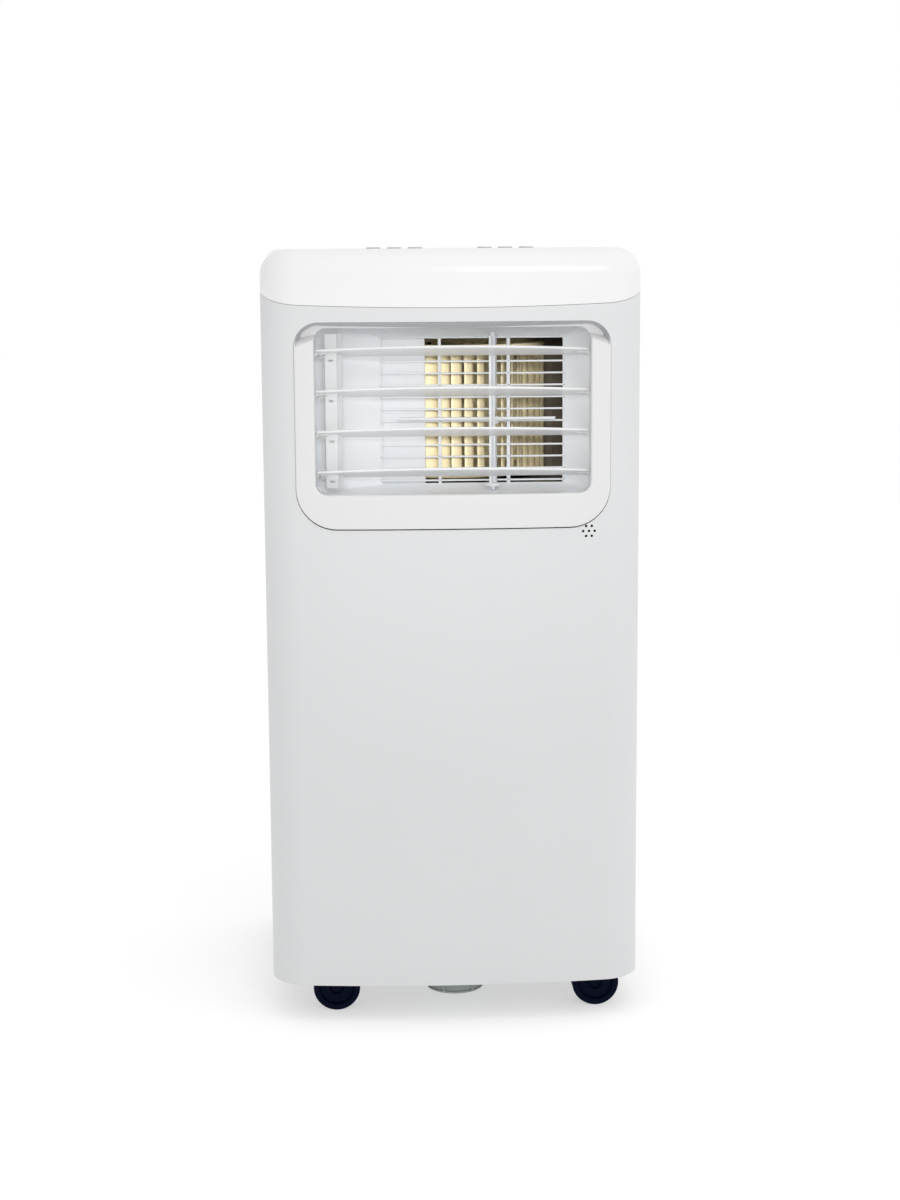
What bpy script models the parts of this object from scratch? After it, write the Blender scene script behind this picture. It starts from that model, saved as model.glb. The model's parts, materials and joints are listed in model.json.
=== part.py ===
"""Portable air conditioner: a white cabinet on four casters, built as the pieces it comes apart into.

Metres, +Z up. The origin is on the floor under the middle of the cabinet, and the front faces -Y.
"""

import math

import bmesh
import bpy
from mathutils import Euler, Matrix, Vector

# Cabinet
WIDTH = 0.328
DEPTH = 0.310
TOP_Z = 0.679
SKIRT_Z = 0.033  # lower edge of the shells
SHELL = 0.0025  # wall of the moulded shells
GAP = 0.0004  # clearance between neighbouring pieces
BEZEL_PROUD = 0.0015  # how far the outlet bezel stands out of the front panel
FRONT_Y = -DEPTH / 2 + BEZEL_PROUD
REAR_Y = DEPTH / 2
BOW_R = 1.15  # radius of the bowed front
FRONT_CORNER_R = 0.036
REAR_CORNER_R = 0.014
SPLIT_Y = -0.080  # joint between the front panel and the rear casing
TOP_EDGE_FRONT_R = 0.022
TOP_EDGE_REAR_R = 0.010
SEAM_FRONT_Z = 0.6295  # joint between the front panel and the top cover
SEAM_RISE = 0.026
SEAM_RUN = 0.110
SEAM_GAP = 0.0007

# Hand holds
HANDLE_FRONT_Y = -0.005
HANDLE_BACK_Y = 0.090
HANDLE_LOW_Z = 0.613
HANDLE_HIGH_Z = 0.641
HANDLE_DEPTH = 0.024

# Air outlet
OUTLET_HALF = 0.118
OUTLET_LOW_Z = 0.471
OUTLET_HIGH_Z = 0.6125
BEZEL_HALF = 0.135
BEZEL_LOW_Z = 0.4415
BEZEL_HIGH_Z = 0.6175
BEZEL_BACK_Y = -0.138
DUCT_HALF = 0.1195
DUCT_BEND_Y = -0.118
GRILLE_Y = -0.0985
GRILLE_LEFT_X = -0.0635
GRILLE_RIGHT_X = 0.1015
GRILLE_LOW_Z = 0.4735
GRILLE_HIGH_Z = 0.6045
SENSOR_X = 0.1165  # middle of the room sensor's seven holes
SENSOR_Z = 0.4375
SENSOR_HOLE = 0.001

# Louvres
LOUVRE_COUNT = 4
LOUVRE_PITCH = 0.0347
LOUVRE_TOP_Z = 0.5914  # pivot of the top blade
LOUVRE_Y = -0.131
LOUVRE_HALF = 0.1165
LOUVRE_FRONT = 0.018  # pivot to the front edge at mid width
LOUVRE_BOW = 0.010
LOUVRE_REAR = 0.009
LOUVRE_T = 0.0022
LOUVRE_TILT = math.radians(18.0)
LOUVRE_NOTCH_LEFT_X = -0.1110  # notch in the rear edge that the link bar stands in
LOUVRE_NOTCH_RIGHT_X = -0.0945
LOUVRE_NOTCH_Y = -0.003
PEG_R = 0.0018
PEG_REACH = 0.121
LINK_PIN_Y = 0.006  # link pin from the blade's pivot
LINK_PIN_Z = -0.0035
LINK_PIN_R = 0.0011
LINK_LEFT_X = -0.1095
LINK_RIGHT_X = -0.0985
LINK_NOTCH = 0.0016  # half the height of the link bar's notches
LINK_LOW_Z = 0.4745
LINK_HIGH_Z = 0.6072

# Vertical vane
VANE_X = 0.036
VANE_Y = -0.1125
VANE_HALF_CHORD = 0.0078
VANE_TURN = math.radians(-22.0)
VANE_PEG_R = 0.002
VANE_ARM = 0.010
ROD_Z = 0.532

# Blower
BLOWER_X = 0.0
BLOWER_Y = 0.002
BLOWER_R = 0.090
BLOWER_LOW_Z = 0.478
BLOWER_HIGH_Z = 0.595
BLOWER_BLADES = 28
VOLUTE_FLOOR_Z = 0.469
VOLUTE_LID_Z = 0.607
VOLUTE_WALL = 0.002
VOLUTE_FLOOR_T = 0.0025

# Heat exchangers, filters and rear grilles
COIL_HALF = 0.125
COIL_FRONT_Y = 0.1125
COIL_BACK_Y = 0.1315
UPPER_LOW_Z = 0.438
UPPER_HIGH_Z = 0.612
LOWER_LOW_Z = 0.070
LOWER_HIGH_Z = 0.256
WINDOW_HALF = 0.118
FILTER_Y = 0.1375
FILTER_T = 0.005
FILTER_TAB_T = 0.006
SLOT_PITCH = 0.0145  # of the rear grilles' slots
SLOT_HALF = 0.0048
PARTITION_Z = 0.400

# Condenser fan and exhaust
FAN_X = -0.045
FAN_Z = 0.165
FAN_R = 0.062
FAN_BLADES = 12
FAN_FRONT_Y = 0.030
FAN_BACK_Y = 0.096
EXHAUST_X = 0.045
EXHAUST_Z = 0.334
EXHAUST_R = 0.058

# Compressor
COMPRESSOR_X = 0.085
COMPRESSOR_Y = -0.060
COMPRESSOR_R = 0.055
COMPRESSOR_LOW_Z = 0.0536
COMPRESSOR_HIGH_Z = 0.245

# Control panel
PANEL_HALF = 0.080
PANEL_FRONT_Y = -0.124
PANEL_BACK_Y = -0.072
PANEL_T = 0.0024
BUTTON_R = 0.0062
BUTTON_PROUD = 0.0012

# Underside
FLOOR_Z = 0.050  # underside of the base pan's floor
PAN_T = 0.003
PAN_RIM_Z = 0.068
CASTER_X = 0.117
CASTER_Y = 0.108
CASTER_TRAIL = 0.010
WHEEL_R = 0.021
STEM_R = 0.004
DRAIN_CAP_R = 0.026
DRAIN_NECK_R = 0.012
DRAIN_CAP_LOW_Z = 0.0172
DRAIN_CAP_Y = FRONT_Y + 0.048
DRAIN_X = -0.060
DRAIN_Z = 0.047
GLAND_X = -0.125
GLAND_Z = 0.300
PLUG_R = 0.009  # of the drain plug and of the cord gland

# name: the turn that lays an XY outline in the plane, and the plane's normal
PLANES = {
    "XY": ((0.0, 0.0, 0.0), (0, 0, 1)),
    "XZ": ((math.pi / 2, 0.0, 0.0), (0, 1, 0)),
    "YZ": ((math.pi / 2, 0.0, math.pi / 2), (1, 0, 0)),
}
AXES = {"X": (0.0, math.pi / 2, 0.0), "Y": (-math.pi / 2, 0.0, 0.0), "Z": (0.0, 0.0, 0.0)}

# name: (red, green, blue), roughness, metallic
FINISHES = {
    "gloss_white": ((0.87, 0.87, 0.86), 0.22, 0.0),
    "satin_white": ((0.74, 0.75, 0.76), 0.42, 0.0),
    "bezel_white": ((0.84, 0.84, 0.84), 0.35, 0.0),
    "duct_white": ((0.70, 0.73, 0.78), 0.50, 0.0),
    "button_grey": ((0.55, 0.56, 0.58), 0.45, 0.0),
    "display_black": ((0.02, 0.02, 0.025), 0.10, 0.0),
    "wheel_tan": ((0.56, 0.45, 0.24), 0.55, 0.0),
    "volute_brown": ((0.16, 0.14, 0.11), 0.60, 0.0),
    "motor_grey": ((0.42, 0.43, 0.44), 0.40, 0.8),
    "coil_aluminium": ((0.78, 0.79, 0.80), 0.35, 0.9),
    "copper": ((0.72, 0.38, 0.22), 0.30, 1.0),
    "black_steel": ((0.03, 0.03, 0.032), 0.38, 0.3),
    "board_green": ((0.03, 0.20, 0.08), 0.45, 0.0),
    "box_steel": ((0.60, 0.61, 0.62), 0.40, 0.8),
    "tray_foam": ((0.80, 0.80, 0.78), 0.80, 0.0),
    "filter_grey": ((0.16, 0.17, 0.18), 0.70, 0.0),
    "caster_navy": ((0.010, 0.014, 0.035), 0.35, 0.0),
    "cap_grey": ((0.20, 0.23, 0.22), 0.50, 0.0),
    "base_grey": ((0.33, 0.34, 0.35), 0.55, 0.0),
}


def new_collection(name):
    collection = bpy.data.collections.new(name)
    bpy.context.scene.collection.children.link(collection)
    return collection


for old in list(bpy.data.objects):
    bpy.data.objects.remove(old, do_unlink=True)
PARTS = new_collection("portable_air_conditioner")
CUTTERS = new_collection("cutters")


# Materials and objects


def finish(name):
    """The named finish as a Principled material, made once."""
    material = bpy.data.materials.get(name)
    if material:
        return material
    colour, roughness, metallic = FINISHES[name]
    material = bpy.data.materials.new(name)
    material.use_nodes = True
    shader = material.node_tree.nodes["Principled BSDF"]
    shader.inputs["Base Color"].default_value = (*colour, 1.0)
    shader.inputs["Roughness"].default_value = roughness
    shader.inputs["Metallic"].default_value = metallic
    material.diffuse_color = (*colour, 1.0)
    return material


def place(name, data, look, location=(0.0, 0.0, 0.0), rotation=(0.0, 0.0, 0.0)):
    """A new object in the parts collection."""
    data.name = name
    if not data.materials:
        data.materials.append(finish(look))
    obj = bpy.data.objects.new(name, data)
    obj.location = location
    obj.rotation_euler = rotation
    PARTS.objects.link(obj)
    return obj


def smooth(mesh, degrees=40.0):
    mesh.shade_smooth()
    mesh.set_sharp_from_angle(angle=math.radians(degrees))


def mesh_of(bm, merge=0.00001):
    bmesh.ops.remove_doubles(bm, verts=bm.verts, dist=merge)
    bmesh.ops.recalc_face_normals(bm, faces=bm.faces)
    mesh = bpy.data.meshes.new("mesh")
    bm.to_mesh(mesh)
    bm.free()
    smooth(mesh)
    return mesh


def settle(obj):
    """Turns a curve, or an object with modifiers, into the plain mesh that they give."""
    graph = bpy.context.evaluated_depsgraph_get()
    graph.update()
    mesh = bpy.data.meshes.new_from_object(obj.evaluated_get(graph))
    bm = bmesh.new()
    bm.from_mesh(mesh)
    bpy.data.meshes.remove(mesh)
    settled = mesh_of(bm)
    settled.materials.clear()
    for material in obj.data.materials:
        settled.materials.append(material)
    name, location, rotation = obj.name, obj.location.copy(), obj.rotation_euler.copy()
    bpy.data.objects.remove(obj, do_unlink=True)
    return place(name, settled, "", location, rotation)


def boolean(target, other, operation="DIFFERENCE"):
    """Cuts, joins or trims target with other, which stays on as a hidden helper."""
    modifier = target.modifiers.new(other.name, "BOOLEAN")
    modifier.operation = operation
    modifier.object = other
    if other.name in PARTS.objects:
        PARTS.objects.unlink(other)
        CUTTERS.objects.link(other)
        other.hide_render = True
        other.display_type = "WIRE"
    return target


def box(name, low, high, look, bevel=0.0):
    """A box between two corners, with its origin at its centre."""
    size = [b - a for a, b in zip(low, high)]
    centre = [(a + b) / 2 for a, b in zip(low, high)]
    bm = bmesh.new()
    bmesh.ops.create_cube(bm, size=1.0)
    bmesh.ops.scale(bm, vec=size, verts=bm.verts)
    obj = place(name, mesh_of(bm), look, centre)
    if bevel:
        modifier = obj.modifiers.new("edges", "BEVEL")
        modifier.width = bevel
        modifier.segments = 2
    return obj


def plate(name, loops, thickness, plane, middle, look):
    """A flat outline with holes, filled and given a thickness. middle is its mid plane's place."""
    curve = bpy.data.curves.new(name, "CURVE")
    curve.dimensions = "2D"
    curve.fill_mode = "BOTH"
    curve.extrude = thickness / 2
    for loop in loops:
        spline = curve.splines.new("POLY")
        spline.points.add(len(loop) - 1)
        spline.use_cyclic_u = True
        for point, (x, y) in zip(spline.points, loop):
            point.co = (x, y, 0.0, 1.0)
    turn, normal = PLANES[plane]
    obj = settle(place(name, curve, look))
    obj.data.transform(Euler(turn).to_matrix().to_4x4())
    obj.location = [middle * part for part in normal]
    return obj


def turned(name, profile, axis, location, steps, look, closed=False):
    """A profile of (radius, height) points, top to bottom, turned about the axis through location."""
    bm = bmesh.new()
    verts = [bm.verts.new((radius, 0.0, height)) for radius, height in profile]
    for a, b in zip(verts, verts[1:] + verts[:1] if closed else verts[1:]):
        bm.edges.new((a, b))
    mesh = bpy.data.meshes.new(name)
    bm.to_mesh(mesh)
    bm.free()
    obj = place(name, mesh, look, location, AXES[axis])
    screw = obj.modifiers.new("turn", "SCREW")
    screw.steps = steps
    screw.render_steps = steps
    screw.use_merge_vertices = True
    screw.merge_threshold = 0.00001
    screw.use_smooth_shade = True
    return obj


def tube(name, points, radius, look):
    """A round pipe through the points, with filled ends."""
    curve = bpy.data.curves.new(name, "CURVE")
    curve.dimensions = "3D"
    curve.bevel_depth = radius
    curve.bevel_resolution = 1
    curve.use_fill_caps = True
    spline = curve.splines.new("POLY")
    spline.points.add(len(points) - 1)
    for point, spot in zip(spline.points, points):
        point.co = (*spot, 1.0)
    return settle(place(name, curve, look))


def smooth_route(points, steps=4):
    """Points along a Catmull-Rom curve through the given points."""
    ends = [points[0]] + list(points) + [points[-1]]
    route = []
    for a, b, c, d in zip(ends, ends[1:], ends[2:], ends[3:]):
        for step in range(steps):
            t = step / steps
            route.append(
                tuple(
                    0.5 * (2 * q + (r - p) * t + (2 * p - 5 * q + 4 * r - s) * t**2
                           + (3 * q - p - 3 * r + s) * t**3)
                    for p, q, r, s in zip(a, b, c, d)
                )
            )
    return route + [tuple(points[-1])]


def strip(name, rows, look, thickness=SHELL, offset=-1.0, cap=False, closed=False):
    """A shell: rows of points, each row as long as the others, joined by faces and given a wall."""
    bm = bmesh.new()
    grid = [[bm.verts.new(point) for point in row] for row in rows]
    count = len(grid[0])
    for lower, upper in zip(grid, grid[1:]):
        for i in range(count if closed else count - 1):
            j = (i + 1) % count
            bm.faces.new((lower[i], lower[j], upper[j], upper[i]))
    if cap:
        bm.faces.new(grid[-1])
    mesh = bpy.data.meshes.new(name)
    bm.to_mesh(mesh)
    bm.free()
    smooth(mesh)
    obj = place(name, mesh, look)
    wall = obj.modifiers.new("wall", "SOLIDIFY")
    wall.thickness = thickness
    wall.offset = offset
    wall.use_even_offset = True
    wall.use_quality_normals = True
    return obj


# Outlines


def arc(cx, cy, radius, start, end, steps):
    """Points on a circle, from start to end in degrees."""
    angles = [math.radians(start + (end - start) * i / steps) for i in range(steps + 1)]
    return [(cx + radius * math.cos(a), cy + radius * math.sin(a)) for a in angles]


def rounded(x0, x1, y0, y1, radii, steps=4):
    """A rectangle with its corners rounded: radii is one radius, or (lower, upper)."""
    lower, upper = radii if isinstance(radii, tuple) else (radii, radii)
    return (
        arc(x0 + lower, y0 + lower, lower, 180, 270, steps)
        + arc(x1 - lower, y0 + lower, lower, 270, 360, steps)
        + arc(x1 - upper, y1 - upper, upper, 0, 90, steps)
        + arc(x0 + upper, y1 - upper, upper, 90, 180, steps)
    )


def half_outline():
    """(x, y, normal x, normal y) down the right half of the cabinet's plan, from front to rear.

    A wide arc makes the bowed front, a tighter arc that leaves it smoothly makes the front corner,
    and the side runs straight to a small rear corner.
    """
    bow_y = FRONT_Y + BOW_R
    sweep = math.asin((WIDTH / 2 - FRONT_CORNER_R) / (BOW_R - FRONT_CORNER_R))
    corner_x = WIDTH / 2 - FRONT_CORNER_R
    corner_y = bow_y - (BOW_R - FRONT_CORNER_R) * math.cos(sweep)
    points = []
    for i in range(4):
        a = sweep * i / 4
        points.append((BOW_R * math.sin(a), bow_y - BOW_R * math.cos(a), math.sin(a), -math.cos(a)))
    for i in range(6):
        a = sweep + (math.pi / 2 - sweep) * i / 5
        x = corner_x + FRONT_CORNER_R * math.sin(a)
        points.append((x, corner_y - FRONT_CORNER_R * math.cos(a), math.sin(a), -math.cos(a)))
    points.append((WIDTH / 2, SPLIT_Y, 1.0, 0.0))
    points.append((WIDTH / 2, SPLIT_Y + SEAM_RUN / 3, 1.0, 0.0))
    for i in range(4):
        a = math.pi / 2 * i / 3
        x = WIDTH / 2 - REAR_CORNER_R + REAR_CORNER_R * math.cos(a)
        y = REAR_Y - REAR_CORNER_R + REAR_CORNER_R * math.sin(a)
        points.append((x, y, math.cos(a), math.sin(a)))
    points.append((0.0, REAR_Y, 0.0, 1.0))
    return points


def outline():
    """The whole plan, anticlockwise from the front's middle."""
    right = half_outline()
    left = [(-x, y, -nx, ny) for x, y, nx, ny in reversed(right[1:-1])]
    return right + left


def front_y(x):
    """The front panel's outer face at a distance from the middle, on the bow."""
    return FRONT_Y + BOW_R - math.sqrt(BOW_R**2 - x**2)


def seam_z(y):
    """The joint under the top cover: it climbs from the front round the corners, then runs level."""
    run = min(max((y - FRONT_Y) / SEAM_RUN, 0.0), 1.0)
    return SEAM_FRONT_Z + SEAM_RISE * math.sin(math.pi / 2 * run)


def louvre_z(index):
    return LOUVRE_TOP_Z - index * LOUVRE_PITCH


# Cabinet shells


def front_panel():
    right = [point for point in half_outline() if point[1] <= SPLIT_Y]
    across = [(-x, y) for x, y, _, _ in reversed(right[1:])] + [(x, y) for x, y, _, _ in right]
    rows = [
        [(x, y, SKIRT_Z) for x, y in across],
        [(x, y, seam_z(y) - SEAM_GAP / 2) for x, y in across],
    ]
    panel = strip("front_panel", rows, "satin_white")
    hole = rounded(
        -BEZEL_HALF - GAP, BEZEL_HALF + GAP, BEZEL_LOW_Z - GAP, BEZEL_HIGH_Z + GAP, (0.035, 0.021)
    )
    boolean(panel, plate("outlet_cutter", [hole], 0.060, "XZ", FRONT_Y, "satin_white"))
    half = SENSOR_HOLE
    cutters = [
        rounded(x - half, x + half, z - half, z + half, half - 0.00001, 1) for x, z in sensor_holes()
    ]
    boolean(panel, plate("sensor_cutter", cutters, 0.040, "XZ", FRONT_Y, "satin_white"))


def sensor_holes():
    """Seven small holes in a hexagon, low beside the bezel, for the room sensor."""
    pitch = 0.0050
    rise = pitch * math.sqrt(3) / 2
    middle = [(SENSOR_X + dx * pitch, SENSOR_Z) for dx in (-1, 0, 1)]
    return middle + [
        (SENSOR_X + dx * pitch, SENSOR_Z + dz * rise) for dx in (-0.5, 0.5) for dz in (-1, 1)
    ]


def rear_casing():
    right = [point for point in half_outline() if point[1] >= SPLIT_Y]
    start = SPLIT_Y + SEAM_GAP
    right[0] = (WIDTH / 2, start, 1.0, 0.0)
    across = [(x, y) for x, y, _, _ in right] + [(-x, y) for x, y, _, _ in reversed(right[:-1])]
    rows = [
        [(x, y, SKIRT_Z) for x, y in across],
        [(x, y, seam_z(y) - SEAM_GAP / 2) for x, y in across],
    ]
    casing = strip("rear_casing", rows, "satin_white")
    windows = [
        rounded(-WINDOW_HALF, WINDOW_HALF, low, high, 0.008)
        for low, high in ((UPPER_LOW_Z, UPPER_HIGH_Z), (LOWER_LOW_Z, LOWER_HIGH_Z))
    ]
    holes = windows + [
        arc(EXHAUST_X, EXHAUST_Z, EXHAUST_R + 0.0056, 0, 345, 23),
        arc(GLAND_X, GLAND_Z, PLUG_R + 2 * GAP, 0, 330, 11),
        arc(DRAIN_X, DRAIN_Z, PLUG_R + 2 * GAP, 0, 330, 11),
    ]
    boolean(casing, plate("rear_cutter", holes, 0.020, "XZ", REAR_Y, "satin_white"))
    room = FILTER_TAB_T / 2 + GAP
    slots = [
        rounded(FILTER_Y - room, FILTER_Y + room, low - 0.0010, high + 0.0010, 0.0002, 1)
        for low, high in ((UPPER_LOW_Z, UPPER_HIGH_Z), (LOWER_LOW_Z, LOWER_HIGH_Z))
    ]
    boolean(casing, plate("slot_cutter", slots, 0.020, "YZ", WIDTH / 2, "satin_white"))
    hand = rounded(HANDLE_FRONT_Y, HANDLE_BACK_Y, HANDLE_LOW_Z, HANDLE_HIGH_Z, 0.010)
    boolean(casing, plate("hand_cutter", [hand], WIDTH + 0.02, "YZ", 0.0, "satin_white"))


def handle_cups():
    """The pocket behind each side's finger opening: four walls and a back, open outwards."""
    for name, side in (("left_handle_cup", -1), ("right_handle_cup", 1)):
        outer = side * (WIDTH / 2 - SHELL - GAP)
        rows = []
        for x, inset in ((outer, -0.0004), (outer - side * HANDLE_DEPTH, 0.004)):
            loop = rounded(
                HANDLE_FRONT_Y + inset,
                HANDLE_BACK_Y - inset,
                HANDLE_LOW_Z + inset,
                HANDLE_HIGH_Z - inset,
                0.008,
                3,
            )
            rows.append([(x, y, z) for y, z in loop])
        cup = strip(name, rows, "satin_white", 0.0018, 1.0, cap=True, closed=True)
        face_outwards(cup, (outer - side * HANDLE_DEPTH, 0.04, 0.627))


def face_outwards(obj, beyond):
    """Turns a shell's faces away from its hollow; beyond is a point on its closed end."""
    mesh = obj.data
    bm = bmesh.new()
    bm.from_mesh(mesh)
    bmesh.ops.recalc_face_normals(bm, faces=bm.faces)
    end = min(bm.faces, key=lambda face: (face.calc_center_median() - Vector(beyond)).length)
    hollow = sum((v.co for v in bm.verts), Vector()) / len(bm.verts)
    if end.normal.dot(end.calc_center_median() - hollow) < 0:
        bmesh.ops.reverse_faces(bm, faces=bm.faces)
    bm.to_mesh(mesh)
    bm.free()


def top_cover():
    """The lid: a wall that follows the seam, a rounded edge that is tighter behind, and a flat top."""
    rows = [[(x, y, seam_z(y) + SEAM_GAP / 2) for x, y, _, _ in outline()]]
    for step in range(4):
        angle = math.pi / 2 * step / 3
        row = []
        for x, y, nx, ny in outline():
            blend = min(max((y + 0.05) / 0.10, 0.0), 1.0)
            radius = TOP_EDGE_FRONT_R + (TOP_EDGE_REAR_R - TOP_EDGE_FRONT_R) * blend
            inset = radius * (1 - math.cos(angle))
            row.append((x - inset * nx, y - inset * ny, TOP_Z - radius * (1 - math.sin(angle))))
        rows.append(row)
    cover = strip("top_cover", rows, "gloss_white", SHELL, -1.0, cap=True, closed=True)
    hole = rounded(
        -PANEL_HALF - GAP, PANEL_HALF + GAP, PANEL_FRONT_Y - GAP, PANEL_BACK_Y + GAP, 0.008
    )
    boolean(cover, plate("panel_cutter", [hole], 0.020, "XY", TOP_Z, "gloss_white"))


def base_pan():
    """A tray with its caster stems' holes, the drain cap's hole and the drain plug's hole."""
    pan = tray("base_pan", 0.0032, FLOOR_Z, PAN_RIM_Z, PAN_T, "base_grey")
    holes = [arc(x, y, STEM_R + 0.0006, 0, 330, 11) for x, y in caster_places()]
    holes.append(arc(0.0, DRAIN_CAP_Y, DRAIN_NECK_R + GAP, 0, 345, 23))
    boolean(pan, plate("stem_cutter", holes, 0.020, "XY", FLOOR_Z, "base_grey"))
    drain = arc(DRAIN_X, DRAIN_Z, PLUG_R + 2 * GAP, 0, 330, 11)
    boolean(pan, plate("drain_cutter", [drain], 0.030, "XZ", REAR_Y, "base_grey"))


def tray(name, inset, low, high, wall, look):
    """An open-topped tray that follows the cabinet's plan at a distance inside it."""
    edge = [(x - inset * nx, y - inset * ny) for x, y, nx, ny in outline()]
    rows = [[(x, y, z) for x, y in edge] for z in (high, low)]
    return strip(name, rows, look, wall, 1.0, cap=True, closed=True)


def partition_tray():
    """The drip tray between the cold upper half and the hot lower half."""
    drip = tray("partition_tray", 0.0035, PARTITION_Z, PARTITION_Z + 0.012, 0.003, "tray_foam")
    pipes = [rounded(0.131, 0.156, 0.060, 0.128, 0.006)]
    boolean(drip, plate("pipe_cutter", pipes, 0.020, "XY", PARTITION_Z, "tray_foam"))


# Air outlet


def outlet_bezel():
    """The frame round the outlet: a rounded ring trimmed to the front's bow, proud of the panel."""
    outer = rounded(-BEZEL_HALF, BEZEL_HALF, BEZEL_LOW_Z, BEZEL_HIGH_Z, (0.0346, 0.0206))
    inner = rounded(-OUTLET_HALF, OUTLET_HALF, OUTLET_LOW_Z, OUTLET_HIGH_Z, 0.010, 3)
    bezel = plate("outlet_bezel", [outer, inner], 0.030, "XZ", BEZEL_BACK_Y - 0.015, "bezel_white")
    edge = BEZEL_HALF + 0.005
    across = [edge * (i / 6 - 1) for i in range(13)]
    bow = [(x, front_y(x) - BEZEL_PROUD) for x in across]
    block = bow + [(edge, BEZEL_BACK_Y + 0.010), (-edge, BEZEL_BACK_Y + 0.010)]
    boolean(bezel, plate("bow_trim", [block], 0.25, "XY", 0.54, "bezel_white"), "INTERSECT")


def outlet_duct():
    """A straight mouth behind the bezel that narrows to the guard grille."""
    front = rounded(-DUCT_HALF, DUCT_HALF, OUTLET_LOW_Z - 0.0015, OUTLET_HIGH_Z + 0.0015, 0.006, 2)
    rear = rounded(
        GRILLE_LEFT_X, GRILLE_RIGHT_X, GRILLE_LOW_Z - 0.001, GRILLE_HIGH_Z + 0.001, 0.003, 2
    )
    rows = [
        [(x, BEZEL_BACK_Y + GAP, z) for x, z in front],
        [(x, DUCT_BEND_Y, z) for x, z in front],
        [(x, GRILLE_Y - GAP, z) for x, z in rear],
    ]
    duct = strip("outlet_duct", rows, "duct_white", 0.002, -1.0, closed=True)
    pegs = [
        arc(LOUVRE_Y, louvre_z(i), PEG_R + 0.0004, 0, 315, 7) for i in range(LOUVRE_COUNT)
    ]
    boolean(duct, plate("peg_cutter", pegs, 0.30, "YZ", 0.0, "duct_white"))
    pivots = [arc(VANE_X, VANE_Y, VANE_PEG_R + 0.0007, 0, 315, 7)]
    boolean(duct, plate("pivot_cutter", pivots, 0.20, "XY", 0.54, "duct_white"))


def louvres():
    """Blades with a bowed front edge, end pegs and a lug whose pin the link bar clips on."""
    master = louvre_blade()
    for index in range(LOUVRE_COUNT):
        name = f"louvre_{index + 1}"
        place(name, master.data.copy(), "", (0.0, LOUVRE_Y, louvre_z(index)))
    bpy.data.objects.remove(master, do_unlink=True)


def louvre_blade():
    across = [LOUVRE_HALF * (i / 5 - 1) for i in range(11)]
    nose = [(x, -LOUVRE_FRONT + LOUVRE_BOW * (x / LOUVRE_HALF) ** 2) for x in across]
    notch = [
        (LOUVRE_HALF, LOUVRE_REAR),
        (LOUVRE_NOTCH_RIGHT_X, LOUVRE_REAR),
        (LOUVRE_NOTCH_RIGHT_X, LOUVRE_NOTCH_Y),
        (LOUVRE_NOTCH_LEFT_X, LOUVRE_NOTCH_Y),
        (LOUVRE_NOTCH_LEFT_X, LOUVRE_REAR),
        (-LOUVRE_HALF, LOUVRE_REAR),
    ]
    blade = plate("louvre_master", [nose + notch], LOUVRE_T, "XY", 0.0, "bezel_white")
    blade.data.transform(Matrix.Rotation(-LOUVRE_TILT, 4, "X"))
    pegs = turned(
        "louvre_pegs",
        [(0.0, PEG_REACH), (PEG_R, PEG_REACH), (PEG_R, -PEG_REACH), (0.0, -PEG_REACH)],
        "X", (0.0, 0.0, 0.0), 8, "bezel_white",
    )
    boolean(blade, pegs, "UNION")
    lug = [
        (-0.0030, -0.0010),
        (-0.0020, 0.0010),
        (LINK_PIN_Y + 0.0015, LINK_PIN_Z + 0.0020),
        (LINK_PIN_Y + 0.0018, LINK_PIN_Z - 0.0015),
        (LINK_PIN_Y - 0.0015, LINK_PIN_Z - 0.0020),
    ]
    lug_x = LOUVRE_NOTCH_LEFT_X - 0.0014
    boolean(blade, plate("louvre_lug", [lug], LOUVRE_T, "YZ", lug_x, "bezel_white"), "UNION")
    pin_end = LINK_RIGHT_X + 0.002
    pin = turned(
        "louvre_pin",
        [(0.0, pin_end), (LINK_PIN_R, pin_end), (LINK_PIN_R, lug_x), (0.0, lug_x)],
        "X", (0.0, LINK_PIN_Y, LINK_PIN_Z), 8, "bezel_white",
    )
    boolean(blade, pin, "UNION")
    return settle(blade)


def louvre_link_bar():
    """An upright bar behind the blades, with an open notch for each blade's pin."""
    back = LINK_PIN_Y + 0.0034
    face = LINK_PIN_Y - LINK_PIN_R - 0.0003
    pivot_z = louvre_z(0) + LINK_PIN_Z
    side = [(face, LINK_LOW_Z - pivot_z)]
    side.append((back, LINK_LOW_Z - pivot_z))
    side.append((back, LINK_HIGH_Z - pivot_z))
    side.append((face, LINK_HIGH_Z - pivot_z))
    for index in range(LOUVRE_COUNT):
        z = louvre_z(index) + LINK_PIN_Z - pivot_z
        side.append((face, z + LINK_NOTCH))
        side.append((LINK_PIN_Y + LINK_NOTCH, z + LINK_NOTCH))
        side.append((LINK_PIN_Y + LINK_NOTCH, z - LINK_NOTCH))
        side.append((face, z - LINK_NOTCH))
    side = [(y - LINK_PIN_Y, z) for y, z in side]
    width = LINK_RIGHT_X - LINK_LEFT_X
    bar = plate("louvre_link_bar", [side], width, "YZ", 0.0, "bezel_white")
    bar.location = ((LINK_LEFT_X + LINK_RIGHT_X) / 2, LOUVRE_Y + LINK_PIN_Y, pivot_z)


def louvre_motor():
    """The small stepper that swings the blades, on the left of the duct by the second blade."""
    face = -DUCT_HALF - 0.0026
    profile = [(0.0, face), (0.0140, face), (0.0140, face - 0.018), (0.0, face - 0.018)]
    turned(
        "louvre_motor", profile, "X", (0.0, LOUVRE_Y + 0.008, louvre_z(1)), 16, "motor_grey"
    )


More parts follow.
